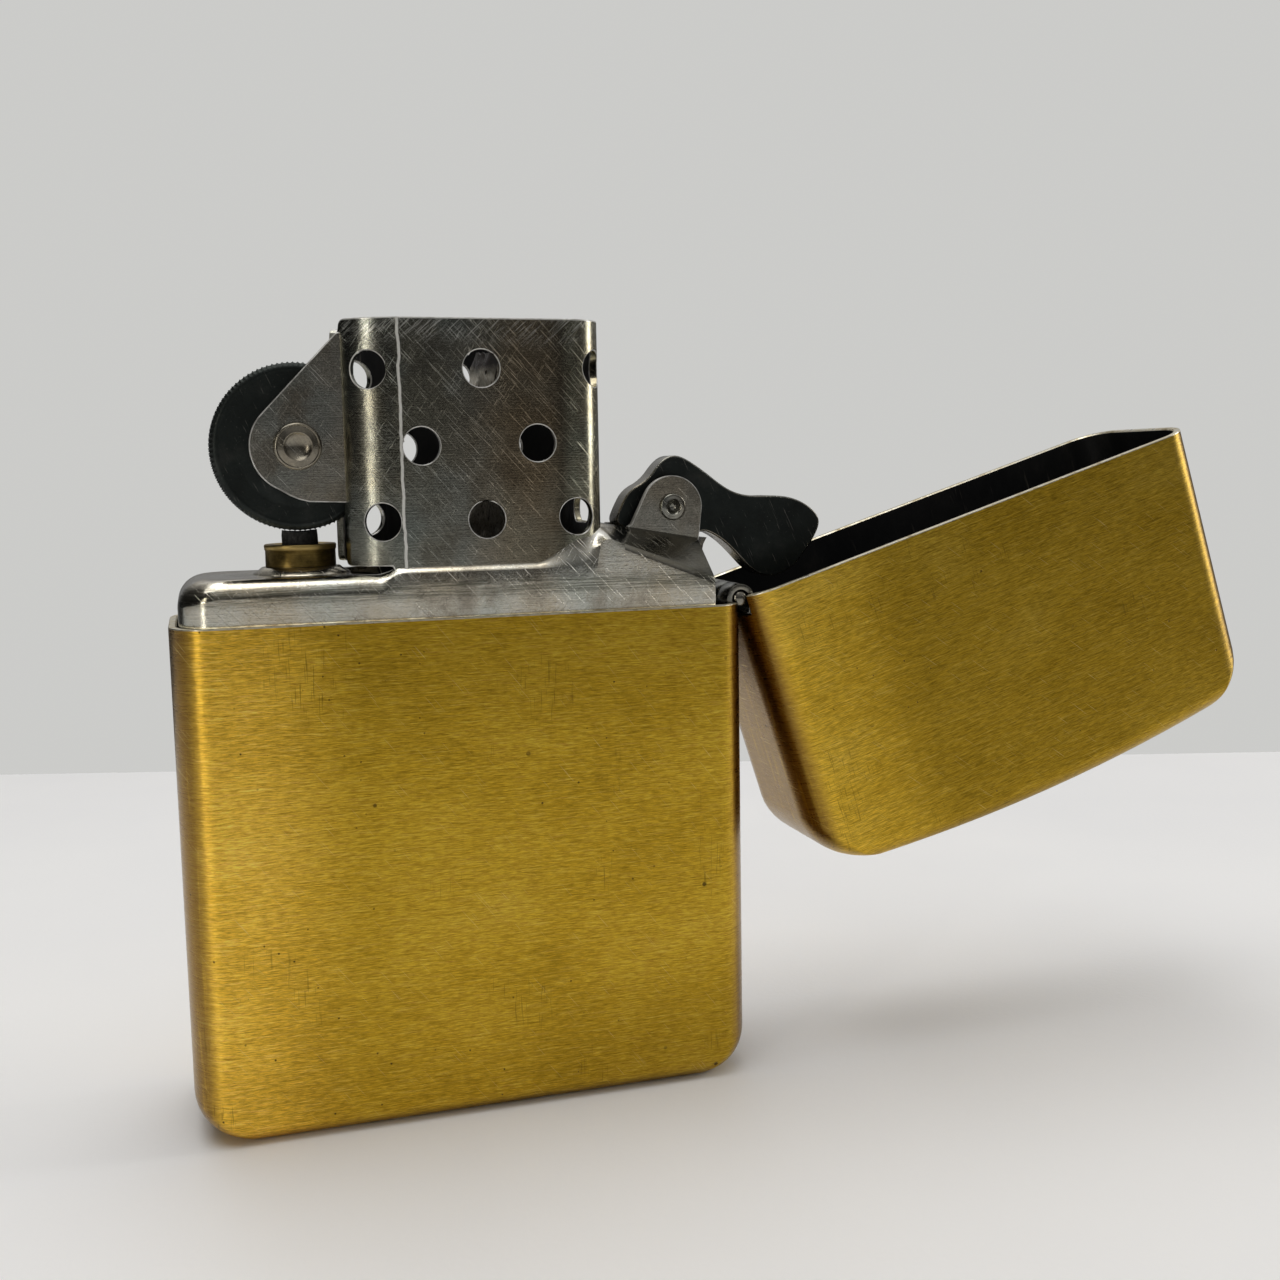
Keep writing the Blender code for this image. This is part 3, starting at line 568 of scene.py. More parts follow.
def chimney_marks_and_painted_light(paint, seed):
    """Heat stain across the panel, a painted reflection on its rounded end, a painted highlight
    along the crease and a file-marked top edge.
    """
    # Heat stain across the flat panel; the dark and then bright bands on the rounded end are a painted
    # reflection.
    heat_stain_and_reflection = paint.ramp(paint.zone("X", CREASE_X, CHIMNEY_END_X), (0.0, (0.92, 0.98, 0.98)),
                      (0.2, (0.95, 0.98, 0.98)), (0.5, (1.05, 0.92, 0.76)), (0.8, (0.85, 0.74, 0.60)),
                      (0.87, (0.55, 0.50, 0.42)), (0.93, (1.1, 1.12, 0.98)), (1.0, (1.5, 1.48, 1.3)))
    paint.tint(1.0, heat_stain_and_reflection)
    lines = paint.lines((0.06, 2.0, 1.5), seed + 23.0, -48.0, 0.5, 0.64, detail=2.0)
    lines = paint.times(lines, paint.zone("Z", CHIMNEY_TOP_Z - 2.4, CHIMNEY_TOP_Z - 0.5))
    # Painted highlight: a thin pale wandering line along the crease.
    wander = paint.times(paint.grain((9.0, 9.0, 1.3), seed=31.0), 0.35 * MM)
    off = paint.maths("SUBTRACT", paint.axis("X"), wander)
    off = paint.maths("ABSOLUTE", paint.maths("ADD", off, (0.17 - CREASE_X) * MM))
    crease = paint.band(off, 0.13 * MM, 0.06 * MM)
    edge = paint.zone("Z", CHIMNEY_TOP_Z - 0.13, CHIMNEY_TOP_Z - 0.07)
    return paint.most(paint.most(paint.times(crease, 0.85), paint.times(lines, 0.4)), paint.times(edge, 0.8))


def front_marks_and_painted_light(paint, seed):
    """Painted shade on the slope under the cam, a darker brushed band along the front and a
    painted highlight on the saddle.
    """
    # Painted shade: the slope under the cam is darkened.
    level = paint.maths("ADD", paint.axis("Z"), paint.times(paint.axis("X"), ROOF_LOW_FALL))
    soot_film_and_shade = paint.band(level, (roof_low(0.0) - 0.7) * MM, (roof_low(0.0) + 0.1) * MM)
    paint.tint(paint.times(soot_film_and_shade, paint.zone("X", 8.8, 10.6)), (0.20, 0.20, 0.19))
    low = paint.times(paint.zone("Z", 34.5, 35.2), paint.zone("Z", 36.3, 35.6))
    streaks = paint.band(brushed(paint, seed), 0.35, 0.6)
    paint.tint(paint.times(low, streaks), (0.42, 0.43, 0.40))
    # Painted highlight: a pale spot on the saddle.
    saddle_highlight = paint.add("VectorMath", {0: paint.place, 1: tuple(c * MM for c in SADDLE)}, operation="DISTANCE")
    return paint.band(saddle_highlight.outputs["Value"], 0.85 * MM, 0.25 * MM)


def steel_material(name, seed, painted_light_level=1.0, gloss=0.0, wear=None):
    """Worn stainless sheet: satin, with brown and blue-grey heat stain, specks and scratches.

    wear, if given, adds its own layers and says where the metal is painted pale: rubbed metal on
    the chimney's top, painted highlights on its crease and on the insert's saddle.
    """
    paint = Paint(name, 1.0, 0.3)
    clouds = paint.grain((3.2, 3.2, 4.6), detail=5.0, rough=0.6, seed=seed)
    stain_and_shade = paint.grain((5.5, 5.5, 7.0), detail=3.0, seed=seed + 9.0)
    fine = paint.grain((0.13, 0.13, 0.16), detail=4.0, rough=0.7, seed=seed + 2.0)
    brush = brushed(paint, seed)
    # Painted light and shade: every colour is scaled by the given level.
    blue, grey, brown, dark, bare = (tuple(painted_light_level * c for c in colour) for colour in (
        (0.46, 0.465, 0.41), (0.52, 0.495, 0.42), (0.48, 0.43, 0.335), (0.31, 0.28, 0.225),
        (0.90, 0.88, 0.84)))
    paint.colour = paint.ramp(stain_and_shade, (0.36, blue), (0.48, grey), (0.6, brown))
    paint.cover(paint.band(clouds, 0.5, 0.3), dark)
    paint.overlay(0.55, fine, (0.3, 0.3), (0.5, 0.5), (0.7, 0.75))
    paint.overlay(0.3, brush, (0.3, 0.35), (0.7, 0.66))
    scratches = paint.most(paint.lines((0.045, 2.0, 2.6), seed + 13.0, 42.0, 0.66, 0.76),
                           paint.lines((0.05, 2.0, 1.8), seed + 17.0, -33.0, 0.7, 0.78))
    paint.cover(scratches, bare, 0.4)
    if wear:
        # Pale where worn: rubbed metal, and painted highlights where the wear layers give them.
        worn = wear(paint, seed)
        paint.cover(worn, (0.86, 0.85, 0.80))
        paint.set("Metallic", paint.maths("SUBTRACT", 1.0, paint.times(worn, 0.75)))
    rough = paint.ramp(clouds, (0.3, 0.27 - gloss), (0.7, 0.17 - gloss))
    rough = paint.mix(0.3, rough, paint.ramp(fine, (0.3, 0.15 - gloss), (0.7, 0.4 - gloss)))
    paint.set("Anisotropic", 0.25)
    return paint.finish(rough, (fine, 0.006), (brush, 0.004), (clouds, 0.02), (scratches, -0.008))


def black_steel_material(name, seed):
    """Blackened steel: near-black satin with oily patches and rubbed specks."""
    paint = Paint(name, 0.75, 0.4)
    clouds = paint.grain((2.6, 2.6, 2.6), detail=5.0, rough=0.6, seed=seed)
    fine = paint.grain((0.16, 0.16, 0.16), detail=3.0, rough=0.65, seed=seed + 3.0)
    paint.colour = paint.ramp(clouds, (0.3, (0.008, 0.010, 0.009)), (0.55, (0.016, 0.020, 0.018)),
                              (0.75, (0.036, 0.038, 0.034)))
    paint.cover(paint.band(fine, 0.66, 0.78), (0.13, 0.125, 0.11))
    paint.cover(paint.lines((0.05, 2.0, 1.8), seed + 13.0, 25.0, 0.7, 0.8), (0.20, 0.19, 0.17))
    return paint.finish(paint.ramp(clouds, (0.3, 0.48), (0.7, 0.33)), (fine, 0.012), (clouds, 0.03))


def tube_brass_material():
    """Dirty turned brass: brown below, rubbed gold where it is touched."""
    paint = Paint("turned_brass", 1.0, 0.34)
    dirt = paint.grain((1.2, 1.2, 0.8), detail=4.0, rough=0.6)
    rings = paint.grain((6.0, 6.0, 0.06), detail=2.0, seed=5.0)
    paint.colour = paint.ramp(dirt, (0.3, (0.06, 0.042, 0.014)), (0.5, (0.15, 0.105, 0.032)),
                              (0.72, (0.27, 0.19, 0.06)))
    paint.cover(paint.zone("Z", COLLAR_HIGH.z - 0.42, COLLAR_HIGH.z - 0.3), (0.55, 0.40, 0.15), 0.7)
    paint.overlay(0.4, rings, (0.3, 0.35), (0.7, 0.65))
    return paint.finish(paint.ramp(dirt, (0.3, 0.5), (0.7, 0.3)), (rings, 0.01), (dirt, 0.02))


def flint_material():
    paint = Paint("flint_grey", 0.25, 0.75)
    lumps = paint.grain((0.22, 0.22, 0.22), detail=5.0, rough=0.7)
    paint.colour = paint.ramp(lumps, (0.3, (0.012, 0.012, 0.012)), (0.6, (0.05, 0.048, 0.045)),
                              (0.8, (0.12, 0.11, 0.10)))
    return paint.finish(paint.ramp(lumps, (0.3, 0.85), (0.7, 0.6)), (lumps, 0.08))


def cotton_material(name, seed, strand, scorch_z=None):
    """Cotton yarn or wadding; a scorch height makes the end above it brown and then black."""
    paint = Paint(name, 0.0, 0.95)
    size = (strand, strand, strand * 5.0)
    fibres = paint.grain(size, detail=5.0, rough=0.7, seed=seed, turn=(14.0, 9.0, 0.0))
    clumps = paint.grain((1.4, 1.4, 1.8), detail=3.0, seed=seed + 4.0)
    paint.colour = paint.ramp(fibres, (0.3, (0.48, 0.42, 0.31)), (0.5, (0.78, 0.73, 0.61)),
                              (0.7, (0.90, 0.87, 0.78)))
    paint.cover(paint.band(clumps, 0.62, 0.75), (0.30, 0.24, 0.16))
    if scorch_z is not None:
        height = paint.maths("ADD", paint.axis("Z"), paint.times(clumps, 0.9 * MM))
        burnt = paint.band(height, scorch_z * MM, (scorch_z + 0.8) * MM)
        # Painted shadow: the wick is darkened lower down, where the chimney shades it.
        paint.cover(paint.zone("Z", WICK_SHADOW_HIGH_Z, WICK_SHADOW_LOW_Z), (0.05, 0.038, 0.024), 0.85)
        paint.cover(burnt, (0.025, 0.02, 0.017))
        dark = paint.grain((0.22, 0.22, 2.6), detail=3.0, seed=seed + 8.0, turn=(9.0, -12.0, 0.0))
        paint.cover(paint.band(dark, 0.6, 0.66), (0.05, 0.038, 0.027))
    paint.set("Sheen Weight", 0.25)
    return paint.finish(paint.ramp(fibres, (0.3, 1.0), (0.7, 0.85)), (fibres, 0.12), (clumps, 0.2))


def felt_material():
    paint = Paint("grey_felt", 0.0, 0.95)
    fibres = paint.grain((0.12, 0.5, 0.12), detail=5.0, rough=0.75, turn=(0.0, 0.0, 35.0))
    clumps = paint.grain((1.6, 1.6, 1.6), detail=4.0, seed=6.0)
    paint.colour = paint.ramp(fibres, (0.3, (0.30, 0.28, 0.25)), (0.6, (0.52, 0.50, 0.46)),
                              (0.8, (0.68, 0.66, 0.62)))
    paint.cover(paint.band(clumps, 0.55, 0.75), (0.34, 0.30, 0.24))
    paint.set("Sheen Weight", 0.3)
    return paint.finish(paint.ramp(clumps, (0.3, 1.0), (0.7, 0.88)), (fibres, 0.1), (clumps, 0.15))


def paper_material():
    """Plain pale floor."""
    paint = Paint("pale_paper", 0.0, 0.6)
    tone = paint.grain((60.0, 60.0, 60.0), detail=3.0)
    tooth = paint.grain((0.5, 0.5, 0.5), detail=3.0, seed=3.0)
    paint.colour = paint.ramp(tone, (0.3, (0.84, 0.84, 0.845)), (0.7, (0.89, 0.885, 0.88)))
    return paint.finish(paint.ramp(tooth, (0.3, 0.5), (0.7, 0.62)), (tooth, 0.02))


# ------ case and lid

def slab_half(half_x, half_y, radius_x, radius_y):
    """Front half of a slab's plan from -X to +X: x, y and how far each point faces along X."""
    centre_x = half_x - radius_x
    centre_y = radius_y - half_y
    points = []
    for c, s in arc((0.0, 0.0), 1.0, 180.0, 270.0, CORNER_STEPS):
        points.append((radius_x * c - centre_x, centre_y + radius_y * s, c))
    for i in range(1, LONG_STEPS):
        points.append((lerp(-centre_x, centre_x, i / LONG_STEPS), -half_y, 0.0))
    for c, s in arc((0.0, 0.0), 1.0, 270.0, 360.0, CORNER_STEPS):
        points.append((centre_x + radius_x * c, centre_y + radius_y * s, c))
    return points


def shell(plan, rim_z, crown_z, end_round, face_round, sag, wall, lip):
    """Drawn shell, open at its rim. Material 0 is outside, 1 is the rim and 2 is inside."""
    up = 1.0 if crown_z > rim_z else -1.0

    def crown_rings(inset):
        half_x, half_y, radius_x, radius_y = (size - inset for size in plan)
        end = end_round - inset
        face = face_round - inset
        rings = []
        for i in range(ROUND_STEPS + 1):
            angle = math.pi / 2.0 * i / ROUND_STEPS
            inward = 1.0 - math.cos(angle)
            half = slab_half(half_x - end * inward, half_y - face * inward,
                             radius_x - 0.5 * face * inward, radius_y - face * inward)
            ring = []
            for x, y, facing in half:
                drop = lerp(face, end, abs(facing)) * (1.0 - math.sin(angle)) + sag * (x / half_x) ** 2
                ring.append((x, y, crown_z - up * (inset + drop)))
            rings.append(ring)
        return rings

    def straight_ring(inset, z):
        return [(x, y, z) for x, y, _ in slab_half(*(size - inset for size in plan))]

    outside = crown_rings(0.0)[::-1]
    inside = crown_rings(wall)
    rim = [straight_ring(0.0, rim_z + up * lip), straight_ring(0.3 * lip, rim_z + up * 0.3 * lip),
           straight_ring(lip, rim_z), straight_ring(wall - lip, rim_z), straight_ring(wall, rim_z + up * lip)]
    bm = bmesh.new()
    loops = []
    for ring in outside + rim + inside:
        front = [bm.verts.new(p) for p in ring]
        back = [bm.verts.new((x, -y, z)) for x, y, z in ring]
        loops.append((front, back))
    for i, (first, second) in enumerate(zip(loops, loops[1:])):
        slot = 0 if i < len(outside) else 1 if i < len(outside) + len(rim) - 1 else 2
        bridge(bm, first[0] + first[1][::-1], second[0] + second[1][::-1], closed=True, slot=slot)
    bridge(bm, *loops[0], slot=0)
    bridge(bm, *loops[-1], slot=2)
    return bm


def hinge_window():
    """The gap in the hinge-side wall that the barrel sits in."""
    half_length = PIN_HIGH.y + 0.15
    half_height = 1.35
    depth = 2.4
    return block((CASE_HIGH.x - depth, -half_length, HINGE.z - half_height),
                 (OUTSIDE, half_length, HINGE.z + half_height))


def make_shell(name, node, body, rim_z, crown_z, end_round, sag, material, **place):
    """Case or lid, with the window for the hinge cut out of its end wall."""
    bm = shell(SHELL_PLAN, rim_z, crown_z, end_round, FACE_ROUND, sag, SHELL_WALL, SHELL_LIP)
    item = make_object(name, bm, material, rim_wear_and_highlight, soot)
    carve(item, hinge_window())
    finish_piece(item, body, "case_brass", [node], **place)


# ------ hinge

LEAF_OUTER_X = 18.4
LEAF_THICKNESS = 0.4
LEAF_HALF_WIDTH = 3.9
LEAF_REACH = 6.4
LEAF_FOOT = 1.4
BARREL_RADIUS = 1.02
KNUCKLES = 5
KNUCKLE_GAP = 0.05


def strip(path, thickness, low, high):
    """Bent strip of sheet: its middle line in (x, z), run along Y."""
    count = len(path)
    bm = bmesh.new()
    rings = []
    for y in (low, high):
        left = []
        right = []
        for i, (x, z) in enumerate(path):
            before = Vector(path[max(i - 1, 0)])
            after = Vector(path[min(i + 1, count - 1)])
            along = (after - before).normalized()
            side = Vector((-along.y, along.x)) * thickness / 2.0
            left.append(bm.verts.new((x + side.x, y, z + side.y)))
            right.append(bm.verts.new((x - side.x, y, z - side.y)))
        rings.append((left, right))
    (left_a, right_a), (left_b, right_b) = rings
    bridge(bm, left_a, left_b)
    bridge(bm, right_b, right_a)
    bridge(bm, left_a, right_a)
    bridge(bm, right_b, left_b)
    for end in (0, -1):
        bm.faces.new((left_a[end], right_a[end], right_b[end], left_b[end]))
    return bm


def make_leaf(name, node, first, up, body, material):
    """One hinge leaf: a plate in its wall and knuckles rolled round the pin."""
    span = 2.0 * PIN_HIGH.y / KNUCKLES
    middle_x = LEAF_OUTER_X - LEAF_THICKNESS / 2.0
    middle_radius = BARREL_RADIUS - LEAF_THICKNESS / 2.0
    blade = [(middle_x, HINGE.z + up * LEAF_REACH), (middle_x, HINGE.z + up * LEAF_FOOT)]
    shapes = [strip(blade, LEAF_THICKNESS, -LEAF_HALF_WIDTH, LEAF_HALF_WIDTH)]
    for index in range(first, KNUCKLES, 2):
        roll = [(middle_x, HINGE.z + up * 1.6), (middle_x, HINGE.z + up * 0.7)]
        end_deg = 10.0 if index == 0 else -75.0
        for x, z in arc((0.0, 0.0), middle_radius, 205.0, end_deg, 22):
            roll.append((HINGE.x + x, HINGE.z - up * z))
        if index == 0:
            roll.append((HINGE.x + middle_radius + 0.02, HINGE.z + up * 0.45))
            roll.append((HINGE.x + middle_radius - 0.05, HINGE.z + up * 1.05))
        low = -PIN_HIGH.y + index * span + KNUCKLE_GAP
        shapes.append(strip(roll, LEAF_THICKNESS, low, low + span - 2.0 * KNUCKLE_GAP))
    item = make_object(name, gather(*shapes), material)
    soften(item, 0.06)
    turn = OPEN_ANGLE if body == "lid" else 0.0
    finish_piece(item, body, "hinge_steel", [node], origin=HINGE, turn=turn)


def make_pin(material):
    """Hinge pin with rounded ends."""
    radius = (PIN_HIGH.z - PIN_LOW.z) / 2.0
    length = PIN_HIGH.y
    profile = [(0.0, -length), (radius * 0.75, -length + 0.03), (radius, -length + 0.14),
               (radius, length - 0.14), (radius * 0.75, length - 0.03), (0.0, length)]
    item = make_object("hinge_wire", lathe(profile, HINGE, 24, "Y"), material)
    finish_piece(item, "case", "hinge_steel", ["hinge_pin"])


# ------ insert

def make_tank(material):
    """Tank walls and deck, cut away where the chimney and the cam's shoulder take over."""
    bm = shell(TANK_PLAN, INSERT_LOW.z, DECK_Z, DECK_END_ROUND, DECK_FACE_ROUND, 0.0, TANK_WALL, 0.06)
    bmesh.ops.translate(bm, verts=bm.verts, vec=(TANK_X, 0.0, 0.0))
    for face in bm.faces:
        face.material_index = 0
    item = make_object("insert_tank", bm, material)
    carve(item, block((CHIMNEY_END_X - 0.2, -OUTSIDE, CASE_RIM_Z - 0.25), (OUTSIDE, OUTSIDE, OUTSIDE)))
    carve(item, prism(both_sides(chimney_plan(CHIMNEY_WALL / 2.0)), DECK_Z - 2.0, DECK_Z + 1.0))
    finish_piece(item, "case", "stainless", ["insert_body"])


def chimney_plan(inset=0.0):
    """Front half of the chimney's sheet in plan, from its free edge to its far end."""
    curl = Vector((-2.453, -2.475))
    curl_radius = (5.4 - inset, 3.06 - inset)
    points = []
    for c, s in arc((0.0, 0.0), 1.0, 188.0, 250.0, 20):
        points.append((curl.x + curl_radius[0] * c, curl.y + curl_radius[1] * s))
    corner = (CHIMNEY_END_X - CHIMNEY_CORNER, CHIMNEY_CORNER - CHIMNEY_Y)
    bend_x = points[-1][0]
    for x in (bend_x + 0.12, bend_x + 0.3):
        points.append((x, inset - CHIMNEY_Y))
    steps = 8
    for i in range(1, steps):
        points.append((lerp(bend_x + 0.3, corner[0], i / steps), inset - CHIMNEY_Y))
    points += arc(corner, CHIMNEY_CORNER - inset, 270.0, 360.0, 14)
    return points


def chimney_rows(inset):
    """Grid of points on the chimney's outer or inner face; only the outer one has the raised crease."""
    outer_front = chimney_plan()
    front = chimney_plan(inset)
    length = [0.0]
    for a, b in zip(outer_front, outer_front[1:]):
        length.append(length[-1] + math.dist(a, b))
    corner = 0.75
    rows = 22
    columns = []
    for (x, y), walked in zip(front, length):
        clip = corner - math.sqrt(corner ** 2 - max(0.0, corner - walked) ** 2)
        bottom = lerp(CURL_BOTTOM_Z + clip * 0.5, DECK_Z - 0.9, ease(x, -5.1, -4.5))
        top = CHIMNEY_TOP_Z - clip
        crease = max(0.0, 1.0 - abs(x - CREASE_X) / 0.3) if inset == 0.0 else 0.0
        column = []
        for r in range(rows + 1):
            z = lerp(bottom, top, r / rows)
            wander = crease * ragged((0.0, 5.0, z), 1.6, 0.12)
            column.append((x + wander, y - crease * 0.05, z))
        columns.append(column)
    columns += [[(x, -y, z) for x, y, z in column] for column in reversed(columns)]
    return list(zip(*columns))


def make_chimney(materials):
    """Windproof chimney: one strip of sheet, curled towards the wheel and open there."""
    sheet = plate(chimney_rows(0.0), chimney_rows(CHIMNEY_WALL), inner_slot=1)
    item = make_object("chimney_sheet", sheet, *materials)
    drills = [rod(x, z, HOLE_RADIUS, -8.0, 8.0) for x, z in PANEL_HOLES]
    for x, y, turn_deg, z in CORNER_HOLES:
        for side in (1.0, -1.0):
            drill = rod(0.0, 0.0, HOLE_RADIUS, -1.4, 1.4)
            turn = Matrix.Rotation(math.radians(-side * turn_deg), 4, "Z")
            place = Matrix.Translation((x, side * y, z)) @ turn
            bmesh.ops.transform(drill, matrix=place, verts=drill.verts)
            drills.append(drill)
    carve(item, gather(*drills))
    half_width, middle_z, radius = END_SLOT
    ends = arc((half_width, middle_z), radius, -90.0, 90.0, 16)
    ends += arc((-half_width, middle_z), radius, 90.0, 270.0, 16)
    slot = prism(ends, -1.0, 1.0)
    lie = Matrix.Translation((CHIMNEY_END_X, 0.0, 0.0)) @ Matrix(((0, 0, 1), (1, 0, 0), (0, 1, 0))).to_4x4()
    bmesh.ops.transform(slot, matrix=lie, verts=slot.verts)
    carve(item, slot)
    soften(item, 0.065, slot=2)
    finish_piece(item, "case", "stainless", flat_first=False, sharp=math.radians(15.0))


def roof_low(x):
    """Height of the cam's shoulder at its front and back edges."""
    return 38.2 - ROOF_LOW_FALL * (x - ROOF_X)


def roof_high(x):
    """Height of the cam's shoulder at the ears."""
    return 39.3 - ROOF_HIGH_FALL * (x - ROOF_X)


def apron_profile(x):
    """Section of the drawn front at x: deck edge, then chimney foot, then the slope to the cam."""
    wall_y = -INSERT_HIGH.y - OVERLAP
    corner = (CHIMNEY_END_X - CHIMNEY_CORNER, CHIMNEY_CORNER - CHIMNEY_Y)
    past = min(CHIMNEY_CORNER, max(0.0, x - corner[0]))
    panel_y = corner[1] - math.sqrt(CHIMNEY_CORNER ** 2 - past ** 2)
    to_chimney = ease(x, -6.0, -4.5)
    to_slope = ease(x, 4.2, 7.8)
    to_roof = ease(x, 7.9, CHIMNEY_END_X)
    roof_x = max(x, CHIMNEY_END_X)
    roof = lerp(roof_low(roof_x), roof_high(roof_x), 0.74)
    foot_low = lerp(DECK_Z + 0.02, roof_low(roof_x), ease(x, 7.0, CHIMNEY_END_X))
    foot_high = lerp(lerp(DECK_Z + 0.42, SADDLE[2], to_slope), roof, to_roof)
    points = []
    for lift in (0.0, 0.35, 0.7):
        points.append(Vector((wall_y, lift)))
    steps = 10
    for i in range(steps + 1):
        t = i / steps
        turn = t * math.pi / 2.0
        deck = Vector((wall_y + DECK_FACE_ROUND * (1.0 - math.cos(turn)),
                       DECK_Z - DECK_FACE_ROUND * (1.0 - math.sin(turn))))
        inward = lerp(smooth(t), t, 0.6 * to_slope + 0.4 * to_roof)
        foot = Vector((lerp(wall_y, panel_y, inward), lerp(foot_low, foot_high, t)))
        points.append(deck.lerp(foot, to_chimney))
    start = CASE_RIM_Z - 0.5
    for i in range(3):
        points[i].y = lerp(start, points[3].y, points[i].y)
    points.append(points[-1] + Vector((0.2, 0.0)))
    return points


def make_apron(material):
    """Drawn front and back of the insert where the chimney flares out into the tank."""
    first = -6.2
    last = 10.3
    columns = 60
    sheet = 0.2
    profiles = []
    for i in range(columns + 1):
        x = lerp(first, last, i / columns)
        profiles.append([(x, y, z) for y, z in apron_profile(x)])
    grid = list(zip(*profiles))
    front = plate(grid, thinned(grid, sheet))
    item = make_object("insert_apron", gather(mirrored(front), front), material)
    finish_piece(item, "case", "stainless", flat_first=False)


def shoulder_section(x):
    """Half section of the cam's shoulder at x, from the front wall to the middle."""
    wall_y = -INSERT_HIGH.y
    low = roof_low(x) - OVERLAP
    high = roof_high(x) - OVERLAP
    ear_y = -EAR_OUT
    slope = (high - low) / (ear_y - wall_y)
    bend = 0.4
    points = [(wall_y, CASE_RIM_Z - 0.5), (wall_y, lerp(CASE_RIM_Z, low, 0.5)), (wall_y, low - bend)]
    for i in range(1, 6):
        t = i / 6.0
        first = Vector((wall_y, low - bend))
        middle = Vector((wall_y, low))
        last = Vector((wall_y + bend, low + slope * bend))
        points.append(tuple(first.lerp(middle, t).lerp(middle.lerp(last, t), t)))
    for i in range(1, 7):
        y = lerp(wall_y + bend, ear_y, i / 6.0)
        points.append((y, low + slope * (y - wall_y)))
    points.append((ear_y / 2.0, high))
    return points


def make_shoulder(material):
    """Sloping shoulder that the cam's ears stand on, with the slot that the cam swings through."""
    start = CHIMNEY_END_X - 0.1
    slot_start = 10.4
    columns = 8
    sections = []
    for i in range(columns + 1):
        x = lerp(start, SHEET_END_X, i / columns)
        half = shoulder_section(x)
        full = half + [(0.0, half[-1][1])] + [(-y, z) for y, z in reversed(half)]
        sections.append([(x, y, z) for y, z in full])
    grid = list(zip(*sections))
    item = make_object("cam_shoulder", plate(grid, thinned(grid, TANK_WALL)), material)
    carve(item, block((slot_start, -SLOT_HALF, CASE_RIM_Z - 1.0), (OUTSIDE, SLOT_HALF, OUTSIDE)))
    soften(item, 0.05)
    finish_piece(item, "case", "stainless")


def make_cam_ears(materials):
    """Ears of the cam: rounded plates whose feet curve out into the shoulder."""
    radius = 2.2
    start = 11.0
    outline = [(start, 37.6), (start, 38.72), (11.5, 38.85), (11.92, 39.1)]
    outline += arc((CAM.x, CAM.z), radius, 152.0, 0.0, 22)
    outline += [(SHEET_END_X + 0.2, 38.6), (SHEET_END_X, 37.2), (SHEET_END_X, 36.6)]
    ear = prism(outline, -EAR_OUT, -SLOT_HALF, "Y", edge_slot=1)
    rows = []
    for i in range(7):
        turn = math.pi / 2.0 * i / 6.0
        row = []
        for c in range(13):
            x = lerp(start + 0.05, SHEET_END_X, c / 12.0)
            foot = lerp(0.12, 0.42, ease(x, start, start + 1.6) * ease(x, SHEET_END_X, SHEET_END_X - 1.4))
            slope = (roof_high(x) - roof_low(x)) / (INSERT_HIGH.y - EAR_OUT)
            out = foot * (1.0 - math.sin(turn))
            row.append((x, -EAR_OUT - out, roof_high(x) - slope * out + foot * (1.0 - math.cos(turn))))
        rows.append(row)
    fillet = plate(rows, thinned(rows, 0.12))
    item = make_object("cam_ears", gather(mirrored(ear), mirrored(fillet), ear, fillet), *materials)
    soften(item, 0.07, slot=1)
    carve(item, rod(CAM.x, CAM.z, 0.76, -OUTSIDE, OUTSIDE))
    finish_piece(item, "case", "stainless")


def make_striker_ears(materials):
    """Ears of the wheel: flat towards the chimney and round about the rivet."""
    ear_in = WHEEL_HIGH.y + 0.4
    ear_out = ear_in + 0.5
    radius = 3.0
    outline = [(-7.45, 41.05), (-7.45, 51.75), (-7.75, 51.9), (-7.95, 51.82)]
    outline += arc((STRIKER.x, STRIKER.z), radius, 134.0, 246.0, 26)
    x, z = outline[-1]
    for t in (0.25, 0.5, 0.75):
        outline.append((lerp(x, -9.4, t), lerp(z, 41.1, 1.0 - (1.0 - t) ** 2)))
    ear = prism(outline, -ear_out, -ear_in, "Y", edge_slot=1)
    item = make_object("striker_ears", gather(mirrored(ear), ear), *materials)
    carve(item, rod(STRIKER.x, STRIKER.z, 0.82, -OUTSIDE, OUTSIDE))
    soften(item, 0.08, slot=1)
    finish_piece(item, "case", "stainless")


def make_turned(name, profile, centre, material, body, slot, replaces=(), steps=56, axis="Z", shape=None,
                origin=None):
    """A round piece that needs no cutting, from its (radius, height) profile."""
    item = make_object(name, lathe(profile, centre, steps, axis, shape), material)
    finish_piece(item, body, slot, replaces, origin, flat_first=False)


def make_flange(material):
    """Steel cone pressed up round the flint tube."""
    foot = DECK_Z - 0.15
    profile = [(1.75, foot), (3.25, foot), (3.12, foot + 0.2), (2.75, foot + 0.42), (2.55, foot + 0.58),
               (2.42, foot + 0.6), (1.75, foot + 0.6)]
    make_turned("flint_flange", profile, (FLINT_X, 0.0, 0.0), material, "case", "stainless")


def make_rivet(name, node, material, centre, shank, grip, head, height, hollow, depth):
    """Tubular rivet along Y with a rolled ring and a hollow at each end."""
    top = grip + height
    half = [(shank, grip - 0.02), (head, grip - 0.02), (head + 0.02, grip + 0.3 * height)]
    for r, h in arc((head - 0.42 * height, grip + 0.45 * height), 0.45 * height, 15.0, 75.0, 3):
        half.append((r, h))
    ring = (head + hollow) / 2.0
    half += [(ring + 0.12, top - 0.28 * height), (ring, top - 0.2 * height)]
    half += [(hollow + 0.16, top - 0.02), (hollow + 0.06, top), (hollow - 0.03, top - 0.06),
             (hollow - 0.12, top - 0.5 * depth), (0.45 * hollow, top - 0.85 * depth), (0.0, top - depth)]
    profile = [(r, -h) for r, h in reversed(half)] + half
    make_turned(name, profile, centre, material, "case", "stainless", [node], 48, "Y")


# ------ moving and small pieces

